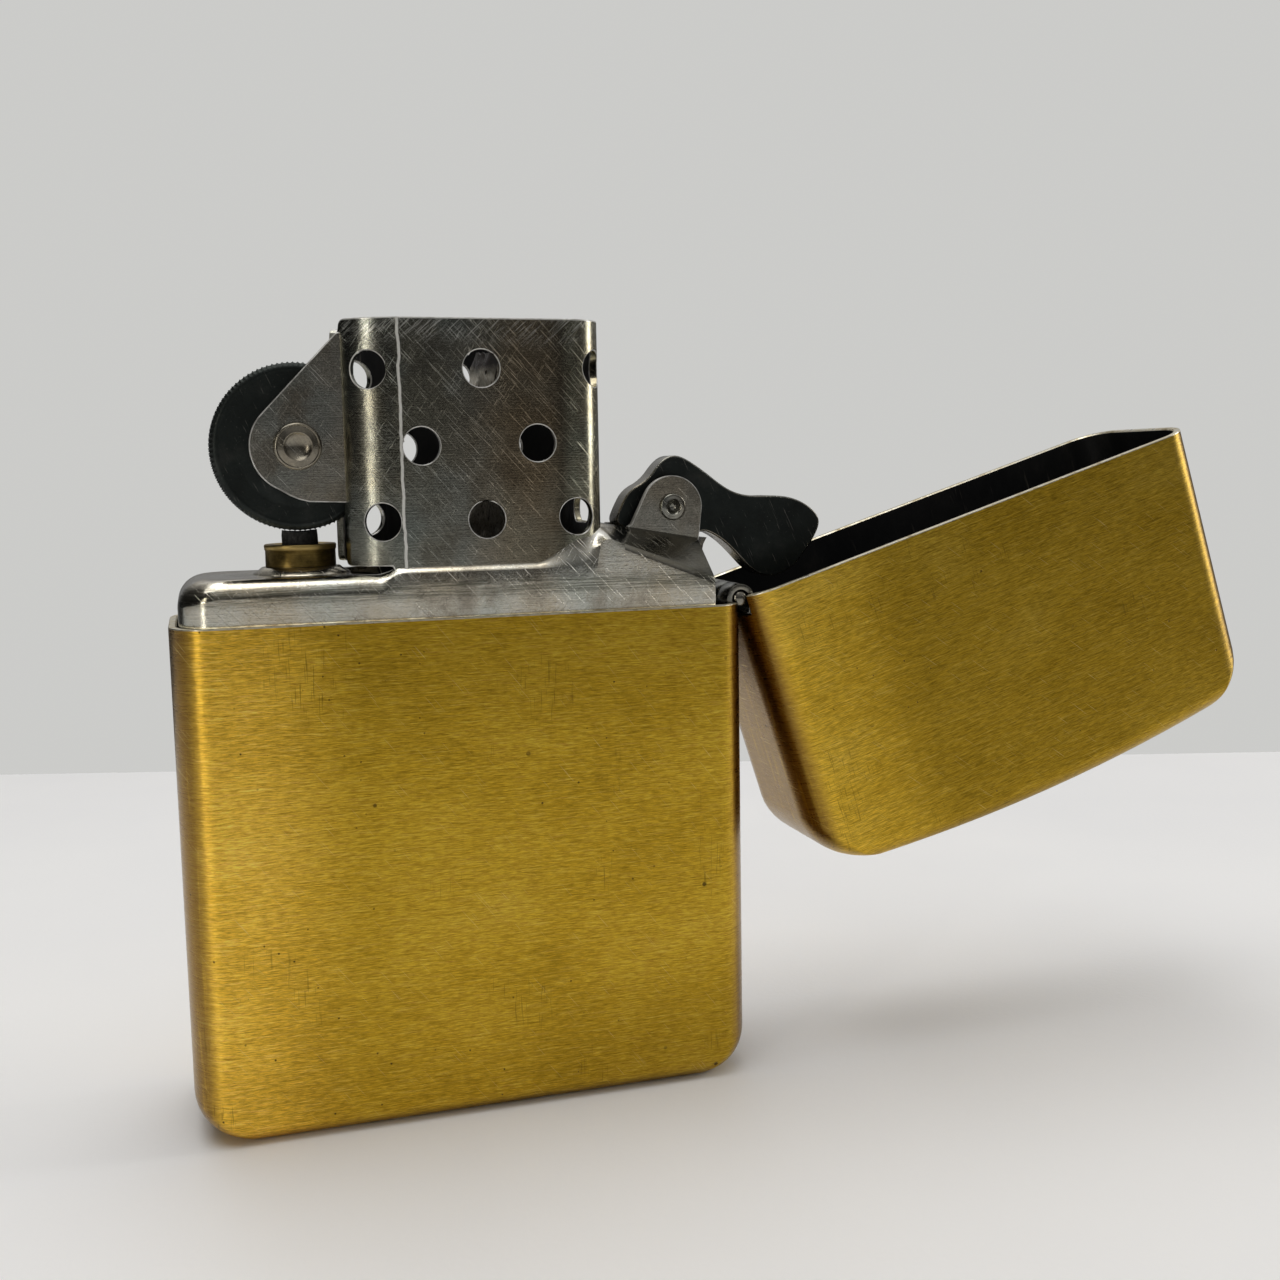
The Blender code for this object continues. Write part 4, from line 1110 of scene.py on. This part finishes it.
def make_wheel(material):
    """Striker wheel: cross-cut teeth round its rim, plain dished sides with turning grooves."""
    radius = WHEEL_RADIUS
    half = WHEEL_HIGH.y
    teeth = 104
    steps = teeth * 5
    tooth_depth = 0.24
    tooth_skew = 5.2
    wear = 0.03
    rim = half - 0.28
    side = [(0.86, half), (1.6, half)]
    grooves = 9
    for i in range(grooves):
        r = lerp(radius - 1.7, radius - 0.55, i / (grooves - 1.0))
        side.append((r, half - 0.02 - 0.03 * (i % 2)))
    side += [(radius - 0.4, half - 0.02), (radius - 0.22, half - 0.1), (radius - 0.06, rim + 0.04)]
    rows = 12
    tread = [(radius, lerp(rim, -rim, i / rows)) for i in range(rows + 1)]
    profile = side + tread + [(r, -h) for r, h in reversed(side)]

    def cut_teeth(r, h, angle):
        if r < radius - 0.3:
            return r, h
        phase = teeth * angle / 2.0
        skew = tooth_skew * h
        peak = min(abs(math.sin(phase + skew)), abs(math.sin(phase - skew)))
        worn = 0.5 + 0.5 * noise.noise(Vector((3.0 * math.cos(angle), 3.0 * math.sin(angle), h)))
        share = 0.35 if r < radius - 0.01 else 1.0
        return r - share * (tooth_depth * (1.0 - peak) + wear * worn), h

    make_turned("flint_wheel", profile, STRIKER, material, "striker", "black_steel", ["striker_wheel"],
                steps, "Y", cut_teeth, STRIKER)


def side_outline(node):
    """Outline of a CAD lever's flat front face as (x, z) points in order, in millimetres."""
    bm = bmesh.new()
    bm.from_mesh(frame["nodes"][node].data)
    bmesh.ops.remove_doubles(bm, verts=bm.verts, dist=1e-7)
    bm.normal_update()
    following = {}
    for edge in bm.edges:
        front = [face for face in edge.link_faces if face.normal.y < -0.9]
        if len(front) == 1:
            for loop in front[0].loops:
                if loop.edge == edge:
                    start = loop.vert
                    following[start] = loop.link_loop_next.vert
    loops = []
    while following:
        vertex = next(iter(following))
        loop = []
        while vertex in following:
            loop.append((vertex.co.x / MM, vertex.co.z / MM))
            vertex = following.pop(vertex)
        loops.append(loop)
    bm.free()
    return max(loops, key=lambda loop: max(p[0] for p in loop) - min(p[0] for p in loop))


def rounded(outline, rounds=2):
    """Closed outline with its corners cut again and again, so that it runs smoothly."""
    for _ in range(rounds):
        cut = []
        for (ax, az), (bx, bz) in zip(outline, outline[1:] + outline[:1]):
            cut.append((lerp(ax, bx, 0.25), lerp(az, bz, 0.25)))
            cut.append((lerp(ax, bx, 0.75), lerp(az, bz, 0.75)))
        outline = cut
    return outline


def make_cam(materials):
    """Cam lever: a thick plate in the CAD outline, smoothed, with worn edges."""
    low, high = box_mm("cam_lever")
    blank = prism(rounded(side_outline("cam_lever")), low.y, high.y, "Y", edge_slot=1)
    item = make_object("cam_plate", blank, *materials)
    carve(item, rod(CAM.x, CAM.z, 0.8, -OUTSIDE, OUTSIDE))
    soften(item, 0.12, segments=3, angle_deg=50.0, slot=1)
    finish_piece(item, "cam", "black_steel", ["cam_lever"], origin=CAM)


def make_collar(material):
    """Brass collar of the flint tube, with a rolled rim."""
    foot = COLLAR_LOW.z
    top = COLLAR_HIGH.z
    outer = (COLLAR_HIGH.x - COLLAR_LOW.x) / 2.0
    bore = (TUBE_HIGH.x - TUBE_LOW.x) / 2.0 - 0.4
    profile = [(bore, foot), (outer - 0.06, foot), (outer - 0.07, top - 0.42), (outer - 0.02, top - 0.36)]
    for a in (-0.6, 0.0, 0.7, 1.3):
        profile.append((outer - 0.1 + 0.1 * math.cos(a), top - 0.14 + 0.13 * math.sin(a)))
    profile += [(outer - 0.45, top - 0.01), (bore + 0.5, top - 0.05), (bore + 0.3, top - 0.18),
                (bore, top - 0.3)]
    make_turned("tube_collar", profile, (FLINT_X, 0.0, 0.0), material, "case", "tube_brass",
                ["flint_tube_collar"])


def make_flint(material):
    """Flint rod whose top is worn hollow by the wheel."""
    low, high = box_mm("flint")
    radius = (high.x - low.x) / 2.0
    reach = WHEEL_RADIUS + 0.05
    profile = [(0.0, low.z), (radius, low.z)]
    profile += [(radius, lerp(low.z, high.z - 0.25, i / 9.0)) for i in range(1, 10)]
    profile += [(radius - 0.04, high.z - 0.02), (radius * 0.75, high.z), (radius * 0.4, high.z),
                (0.0, high.z)]

    def wear(r, h, angle):
        x = r * math.cos(angle)
        y = r * math.sin(angle)
        r += ragged((x, y, h), 0.35, 0.05) if r > 0.5 * radius else 0.0
        if h > high.z - 0.1:
            h = STRIKER.z - math.sqrt(reach ** 2 - x * x) + ragged((x, y, 0.0), 0.3, 0.03) - 0.02
        return r, h

    make_turned("flint_rod", profile, (FLINT_X, 0.0, 0.0), material, "flint", "flint", ["flint"], 40,
                shape=wear)


def make_wick(material):
    """Braided cotton wick that leans a little at the top, with a frayed burnt end."""
    radius = 1.68
    rows = 170
    around = 60
    strands = 6
    pitch = 3.4
    braid_depth = 0.12
    fuzz = 0.09
    lean_start_z = 38.0
    lean_x = 1.15
    lean_y = -1.5
    bm = bmesh.new()
    rings = []
    for r in range(rows + 1):
        t = r / rows
        z = lerp(WICK_LOW.z, WICK_HIGH.z - 0.1, t)
        lean = lean_x * ease(z, lean_start_z, lean_start_z + 12.0)
        taper = 1.0 - 0.22 * ease(z, WICK_HIGH.z - 1.3, WICK_HIGH.z)
        ring = []
        for k in range(around):
            angle = 2.0 * math.pi * k / around
            one_way = math.sin(strands * angle + 2.0 * math.pi * z / pitch)
            other_way = math.sin(strands * angle - 2.0 * math.pi * z / pitch)
            braid = braid_depth * max(one_way, other_way)
            x = math.cos(angle)
            y = math.sin(angle)
            frayed = 0.1 + 0.5 * ease(z, WICK_HIGH.z - 0.9, WICK_HIGH.z)
            size = taper * radius + braid + ragged((4.0 * x, 4.0 * y, z), 0.5, fuzz)
            lift = ragged((5.0 * x, 5.0 * y, 0.0), 0.7, frayed) if t > 0.97 else 0.0
            place = (WICK_X + lean + size * x, lean_y * lean + size * y, z + min(0.1, lift))
            ring.append(bm.verts.new(place))
        rings.append(ring)
    stack(bm, rings)
    for ring, step in ((rings[0], 0.15), (rings[-1], -0.25)):
        middle = sum((vertex.co for vertex in ring), Vector()) / around
        inner = [bm.verts.new(vertex.co.lerp(middle, 0.5) + Vector((0.0, 0.0, step))) for vertex in ring]
        bridge(bm, ring, inner, closed=True)
        bm.faces.new(inner)
    item = make_object("wick_braid", bm, material)
    finish_piece(item, "case", "wick_cotton", ["wick"], flat_first=False)


def make_pad(name, node, material):
    """Pressed pad: a block with round edges, swollen faces and a lumpy surface."""
    low, high = box_mm(node)
    centre = (low + high) / 2.0
    half = (high - low) / 2.0
    bm = bmesh.new()
    bmesh.ops.create_cube(bm, size=2.0)
    bmesh.ops.subdivide_edges(bm, edges=bm.edges, cuts=13, use_grid_fill=True)
    squareness = 7.0
    for vertex in bm.verts:
        unit = vertex.co.copy()
        unit /= sum(abs(c) ** squareness for c in unit) ** (1.0 / squareness)
        place = Vector(unit[i] * half[i] for i in range(3))
        place *= 0.975 + ragged(place + centre, 2.4, 0.02)
        vertex.co = place + centre
    item = make_object(name, bm, material)
    finish_piece(item, "case", "packing_cotton", [node], flat_first=False)


def make_felt(material):
    """Felt pad that closes the tank, with a round hole for the screw."""
    low, high = box_mm("felt_pad")
    screw_low, screw_high = box_mm("flint_screw")
    hole = (screw_high.x - screw_low.x) / 2.0 + 0.25
    plan = ((high.x - low.x) / 2.0, high.y, 1.8, 2.4)
    bm = bmesh.new()
    rings = []
    edge = 0.35
    layers = [(edge, low.z), (0.1, low.z + 0.12), (0.0, low.z + edge), (0.0, high.z - edge),
              (0.1, high.z - 0.12), (edge, high.z)]
    for inset, z in layers:
        half = [(x, y) for x, y, _ in slab_half(*(size - inset for size in plan))]
        ring = []
        for x, y in both_sides(half):
            point = Vector((x + TANK_X, y, z))
            if z > low.z + 1.0:
                point.z -= abs(ragged(point, 1.5, 0.08))
            ring.append(bm.verts.new(point))
        rings.append(ring)
    stack(bm, rings)
    bm.faces.new(rings[0])
    bm.faces.new(rings[-1])
    item = make_object("felt_cover", bm, material)
    carve(item, rod(FLINT_X, 0.0, hole, low.z - 1.0, high.z + 1.0, axis="Z"))
    finish_piece(item, "case", "felt", ["felt_pad"])


def paint_cad_nodes(materials):
    """Materials of the CAD nodes that are shown as they are."""
    for node, material in materials.items():
        mesh = frame["nodes"][node].data
        mesh.materials.clear()
        mesh.materials.append(material)


# ------ stage, light and camera

CAMERA_PLACE = Vector((-16.933, -97.163, 42.833))
CAMERA_YAW = 0.2987
CAMERA_PITCH = 0.1188
CAMERA_ROLL = -0.0179
CAMERA_LENS = 40.085


def camera_heading():
    """Level direction that the camera looks in."""
    return Vector((math.sin(CAMERA_YAW), math.cos(CAMERA_YAW), 0.0))


def make_floor():
    """Pale table top. It ends behind the lighter, where the pale wall starts."""
    back = 206.0
    reach = 900.0
    ahead = camera_heading()
    side = Vector((ahead.y, -ahead.x, 0.0))
    start = Vector((CAMERA_PLACE.x, CAMERA_PLACE.y, 0.0))
    bm = bmesh.new()
    bmesh.ops.create_grid(bm, x_segments=8, y_segments=8, size=1.0)
    for vertex in bm.verts:
        depth = lerp(-reach, back, (vertex.co.y + 1.0) / 2.0)
        vertex.co = start + ahead * depth + side * (vertex.co.x * reach)
    floor = make_object("floor", bm, paper_material())


def make_world():
    """Room light: a bright ceiling, darker in front and to the left. The wall seen is plain grey."""
    world = bpy.data.worlds.new("room")
    world.use_nodes = True
    bpy.context.scene.world = world
    nodes = Nodes(world.node_tree)
    place = nodes.add("TexCoord", {}).outputs["Generated"]
    split = nodes.add("SeparateXYZ", {0: place})

    def levels(axis, *stops):
        share = nodes.add("MapRange", {"Value": split.outputs[axis], "From Min": -1.0}).outputs[0]
        return nodes.ramp(share, *(((position + 1.0) / 2.0, value) for position, value in stops))

    height = levels("Z", (-0.3, 0.16), (0.05, 0.18), (0.25, 0.26), (0.5, 0.6), (0.8, 0.8))
    depth = levels("Y", (-1.0, 0.42), (-0.7, 0.55), (-0.2, 0.9), (0.2, 1.0))
    side = levels("X", (-1.0, 0.05), (-0.55, 0.08), (-0.35, 0.4), (-0.15, 1.1), (0.1, 1.1), (0.45, 0.85),
                  (0.8, 0.6))
    light = nodes.mix(1.0, nodes.mix(1.0, height, depth, "MULTIPLY"), side, "MULTIPLY")
    seen = nodes.add("LightPath", {}).outputs["Is Camera Ray"]
    background = world.node_tree.nodes["Background"]
    nodes.feed(background.inputs["Color"], nodes.mix(seen, light, (0.60, 0.60, 0.585)))
    background.inputs["Strength"].default_value = 1.0


def add_light(name, place, target, size, power, colour=(1.0, 1.0, 1.0)):
    """Soft rectangular light; place and target in millimetres, size (width, height) in millimetres."""
    data = bpy.data.lights.new(name, "AREA")
    data.shape = "RECTANGLE"
    data.size = size[0] * MM
    data.size_y = size[1] * MM
    data.energy = power
    data.color = colour
    item = bpy.data.objects.new(name, data)
    item.location = Vector(place) * MM
    item.rotation_mode = "QUATERNION"
    item.rotation_quaternion = (Vector(target) - Vector(place)).to_track_quat("-Z", "Y")
    item.visible_camera = False
    bpy.context.scene.collection.objects.link(item)


def make_lights():
    middle = (10.0, 0.0, 30.0)
    add_light("ceiling", (-60.0, 40.0, 420.0), middle, (420.0, 320.0), 0.92, (1.0, 0.985, 0.96))
    add_light("left_strip", (-345.0, -285.0, 130.0), middle, (28.0, 260.0), 0.24, (1.0, 0.95, 0.86))
    add_light("right_side", (380.0, -20.0, 140.0), middle, (120.0, 260.0), 0.45, (1.0, 0.98, 0.95))


def make_camera():
    """Camera at the photograph's place and angle."""
    level = camera_heading()
    forward = level * math.cos(CAMERA_PITCH) - Vector((0.0, 0.0, math.sin(CAMERA_PITCH)))
    right = Vector((level.y, -level.x, 0.0))
    up = right.cross(forward)
    rolled_right = right * math.cos(CAMERA_ROLL) + up * math.sin(CAMERA_ROLL)
    rolled_up = up * math.cos(CAMERA_ROLL) - right * math.sin(CAMERA_ROLL)
    data = bpy.data.cameras.new("photo_camera")
    data.sensor_width = 36.0
    data.lens = CAMERA_LENS
    data.clip_start = 0.001
    camera = bpy.data.objects.new("photo_camera", data)
    turn = Matrix((rolled_right, rolled_up, -forward)).transposed()
    camera.matrix_world = Matrix.Translation(CAMERA_PLACE * MM) @ turn.to_4x4()
    bpy.context.scene.collection.objects.link(camera)
    bpy.context.scene.camera = camera


# ------ build

case_brass = brass_material("case_brass", 1.0, CASE_LOW.x, CASE_HIGH.x, CASE_RIM_Z)
# The lid's brass is a darker copy of the case's: painted shade.
lid_brass = brass_material("lid_brass", 41.0, CASE_HIGH.x - HINGE.x, CASE_LOW.x - HINGE.x,
                           LID_RIM_Z - HINGE.z, painted_light_level=0.86, highlight_tint=(1.3, 1.3, 1.4))
# The brass rim is painted pale: a rubbed edge and a painted highlight.
rim_wear_and_highlight = rim_material("rim_wear_and_highlight", (0.35, 0.28, 0.16), (0.72, 0.66, 0.50), (0.82, 0.78, 0.68), 1.0)
bare_edge = rim_material("bare_edge", (0.22, 0.21, 0.19), (0.5, 0.49, 0.46), (0.75, 0.74, 0.70), 0.55)
soot = soot_material()
# The steel copies are set lighter or darker by their levels: painted light and shade on each piece.
deck_steel = steel_material("deck_steel", 2.0, painted_light_level=1.35, gloss=0.08, wear=front_marks_and_painted_light)
chimney_steel = steel_material("chimney_steel", 14.0, painted_light_level=0.54, gloss=0.06, wear=chimney_marks_and_painted_light)
ear_steel = steel_material("ear_steel", 27.0, painted_light_level=0.62)
rivet_steel = steel_material("rivet_steel", 52.0, painted_light_level=0.46)
hinge_steel = steel_material("hinge_steel", 44.0, painted_light_level=0.45)
wheel_black = black_steel_material("wheel_black", 3.0)
cam_black = black_steel_material("cam_black", 8.0)
tube_brass = tube_brass_material()
cotton = cotton_material("packing_cotton", 5.0, 0.25)

make_shell("case_shell", "case_bottom", "case", CASE_RIM_Z, 0.0, CASE_END_ROUND, 0.0, case_brass)
make_shell("lid_cover", "lid_shell", "lid", LID_RIM_Z, LID_TOP_Z, LID_END_ROUND, LID_SAG, lid_brass,
           origin=HINGE, turn=OPEN_ANGLE)
make_leaf("case_leaf", "hinge_leaf_lower", 0, -1.0, "case", hinge_steel)
make_leaf("lid_leaf", "hinge_leaf_upper", 1, 1.0, "lid", hinge_steel)
make_pin(hinge_steel)
make_tank(deck_steel)
make_apron(deck_steel)
make_chimney([chimney_steel, soot, bare_edge])
make_shoulder(deck_steel)
make_cam_ears([ear_steel, bare_edge])
make_striker_ears([ear_steel, bare_edge])
make_flange(deck_steel)
make_rivet("wheel_rivet", "striker_rivet", rivet_steel, STRIKER, 0.75, WHEEL_HIGH.y + 0.92, 1.5, 0.42, 0.85,
           0.34)
make_rivet("lever_rivet", "cam_rivet", rivet_steel, CAM, 0.7, EAR_OUT, 0.93, 0.3, 0.5, 0.5)
make_wheel(wheel_black)
make_cam([cam_black, hinge_steel])
make_collar(tube_brass)
make_flint(flint_material())
make_wick(cotton_material("wick_cotton", 9.0, 0.12, scorch_z=WICK_HIGH.z - 1.2))
for number in range(1, 6):
    make_pad(f"cotton_pad_{number}", f"packing_{number}", cotton)
make_felt(felt_material())
paint_cad_nodes({
    "flint_tube": tube_brass,
    "flint_spring_tip": tube_brass,
    "flint_screw": tube_brass,
    "flint_spring": hinge_steel,
    "inner_plate": deck_steel,
    "cam_spring": hinge_steel,
    "cam_spring_rivet_1": rivet_steel,
    "cam_spring_rivet_2": rivet_steel,
})
make_floor()
make_world()
make_lights()
make_camera()
bpy.context.scene.view_settings.view_transform = "Standard"
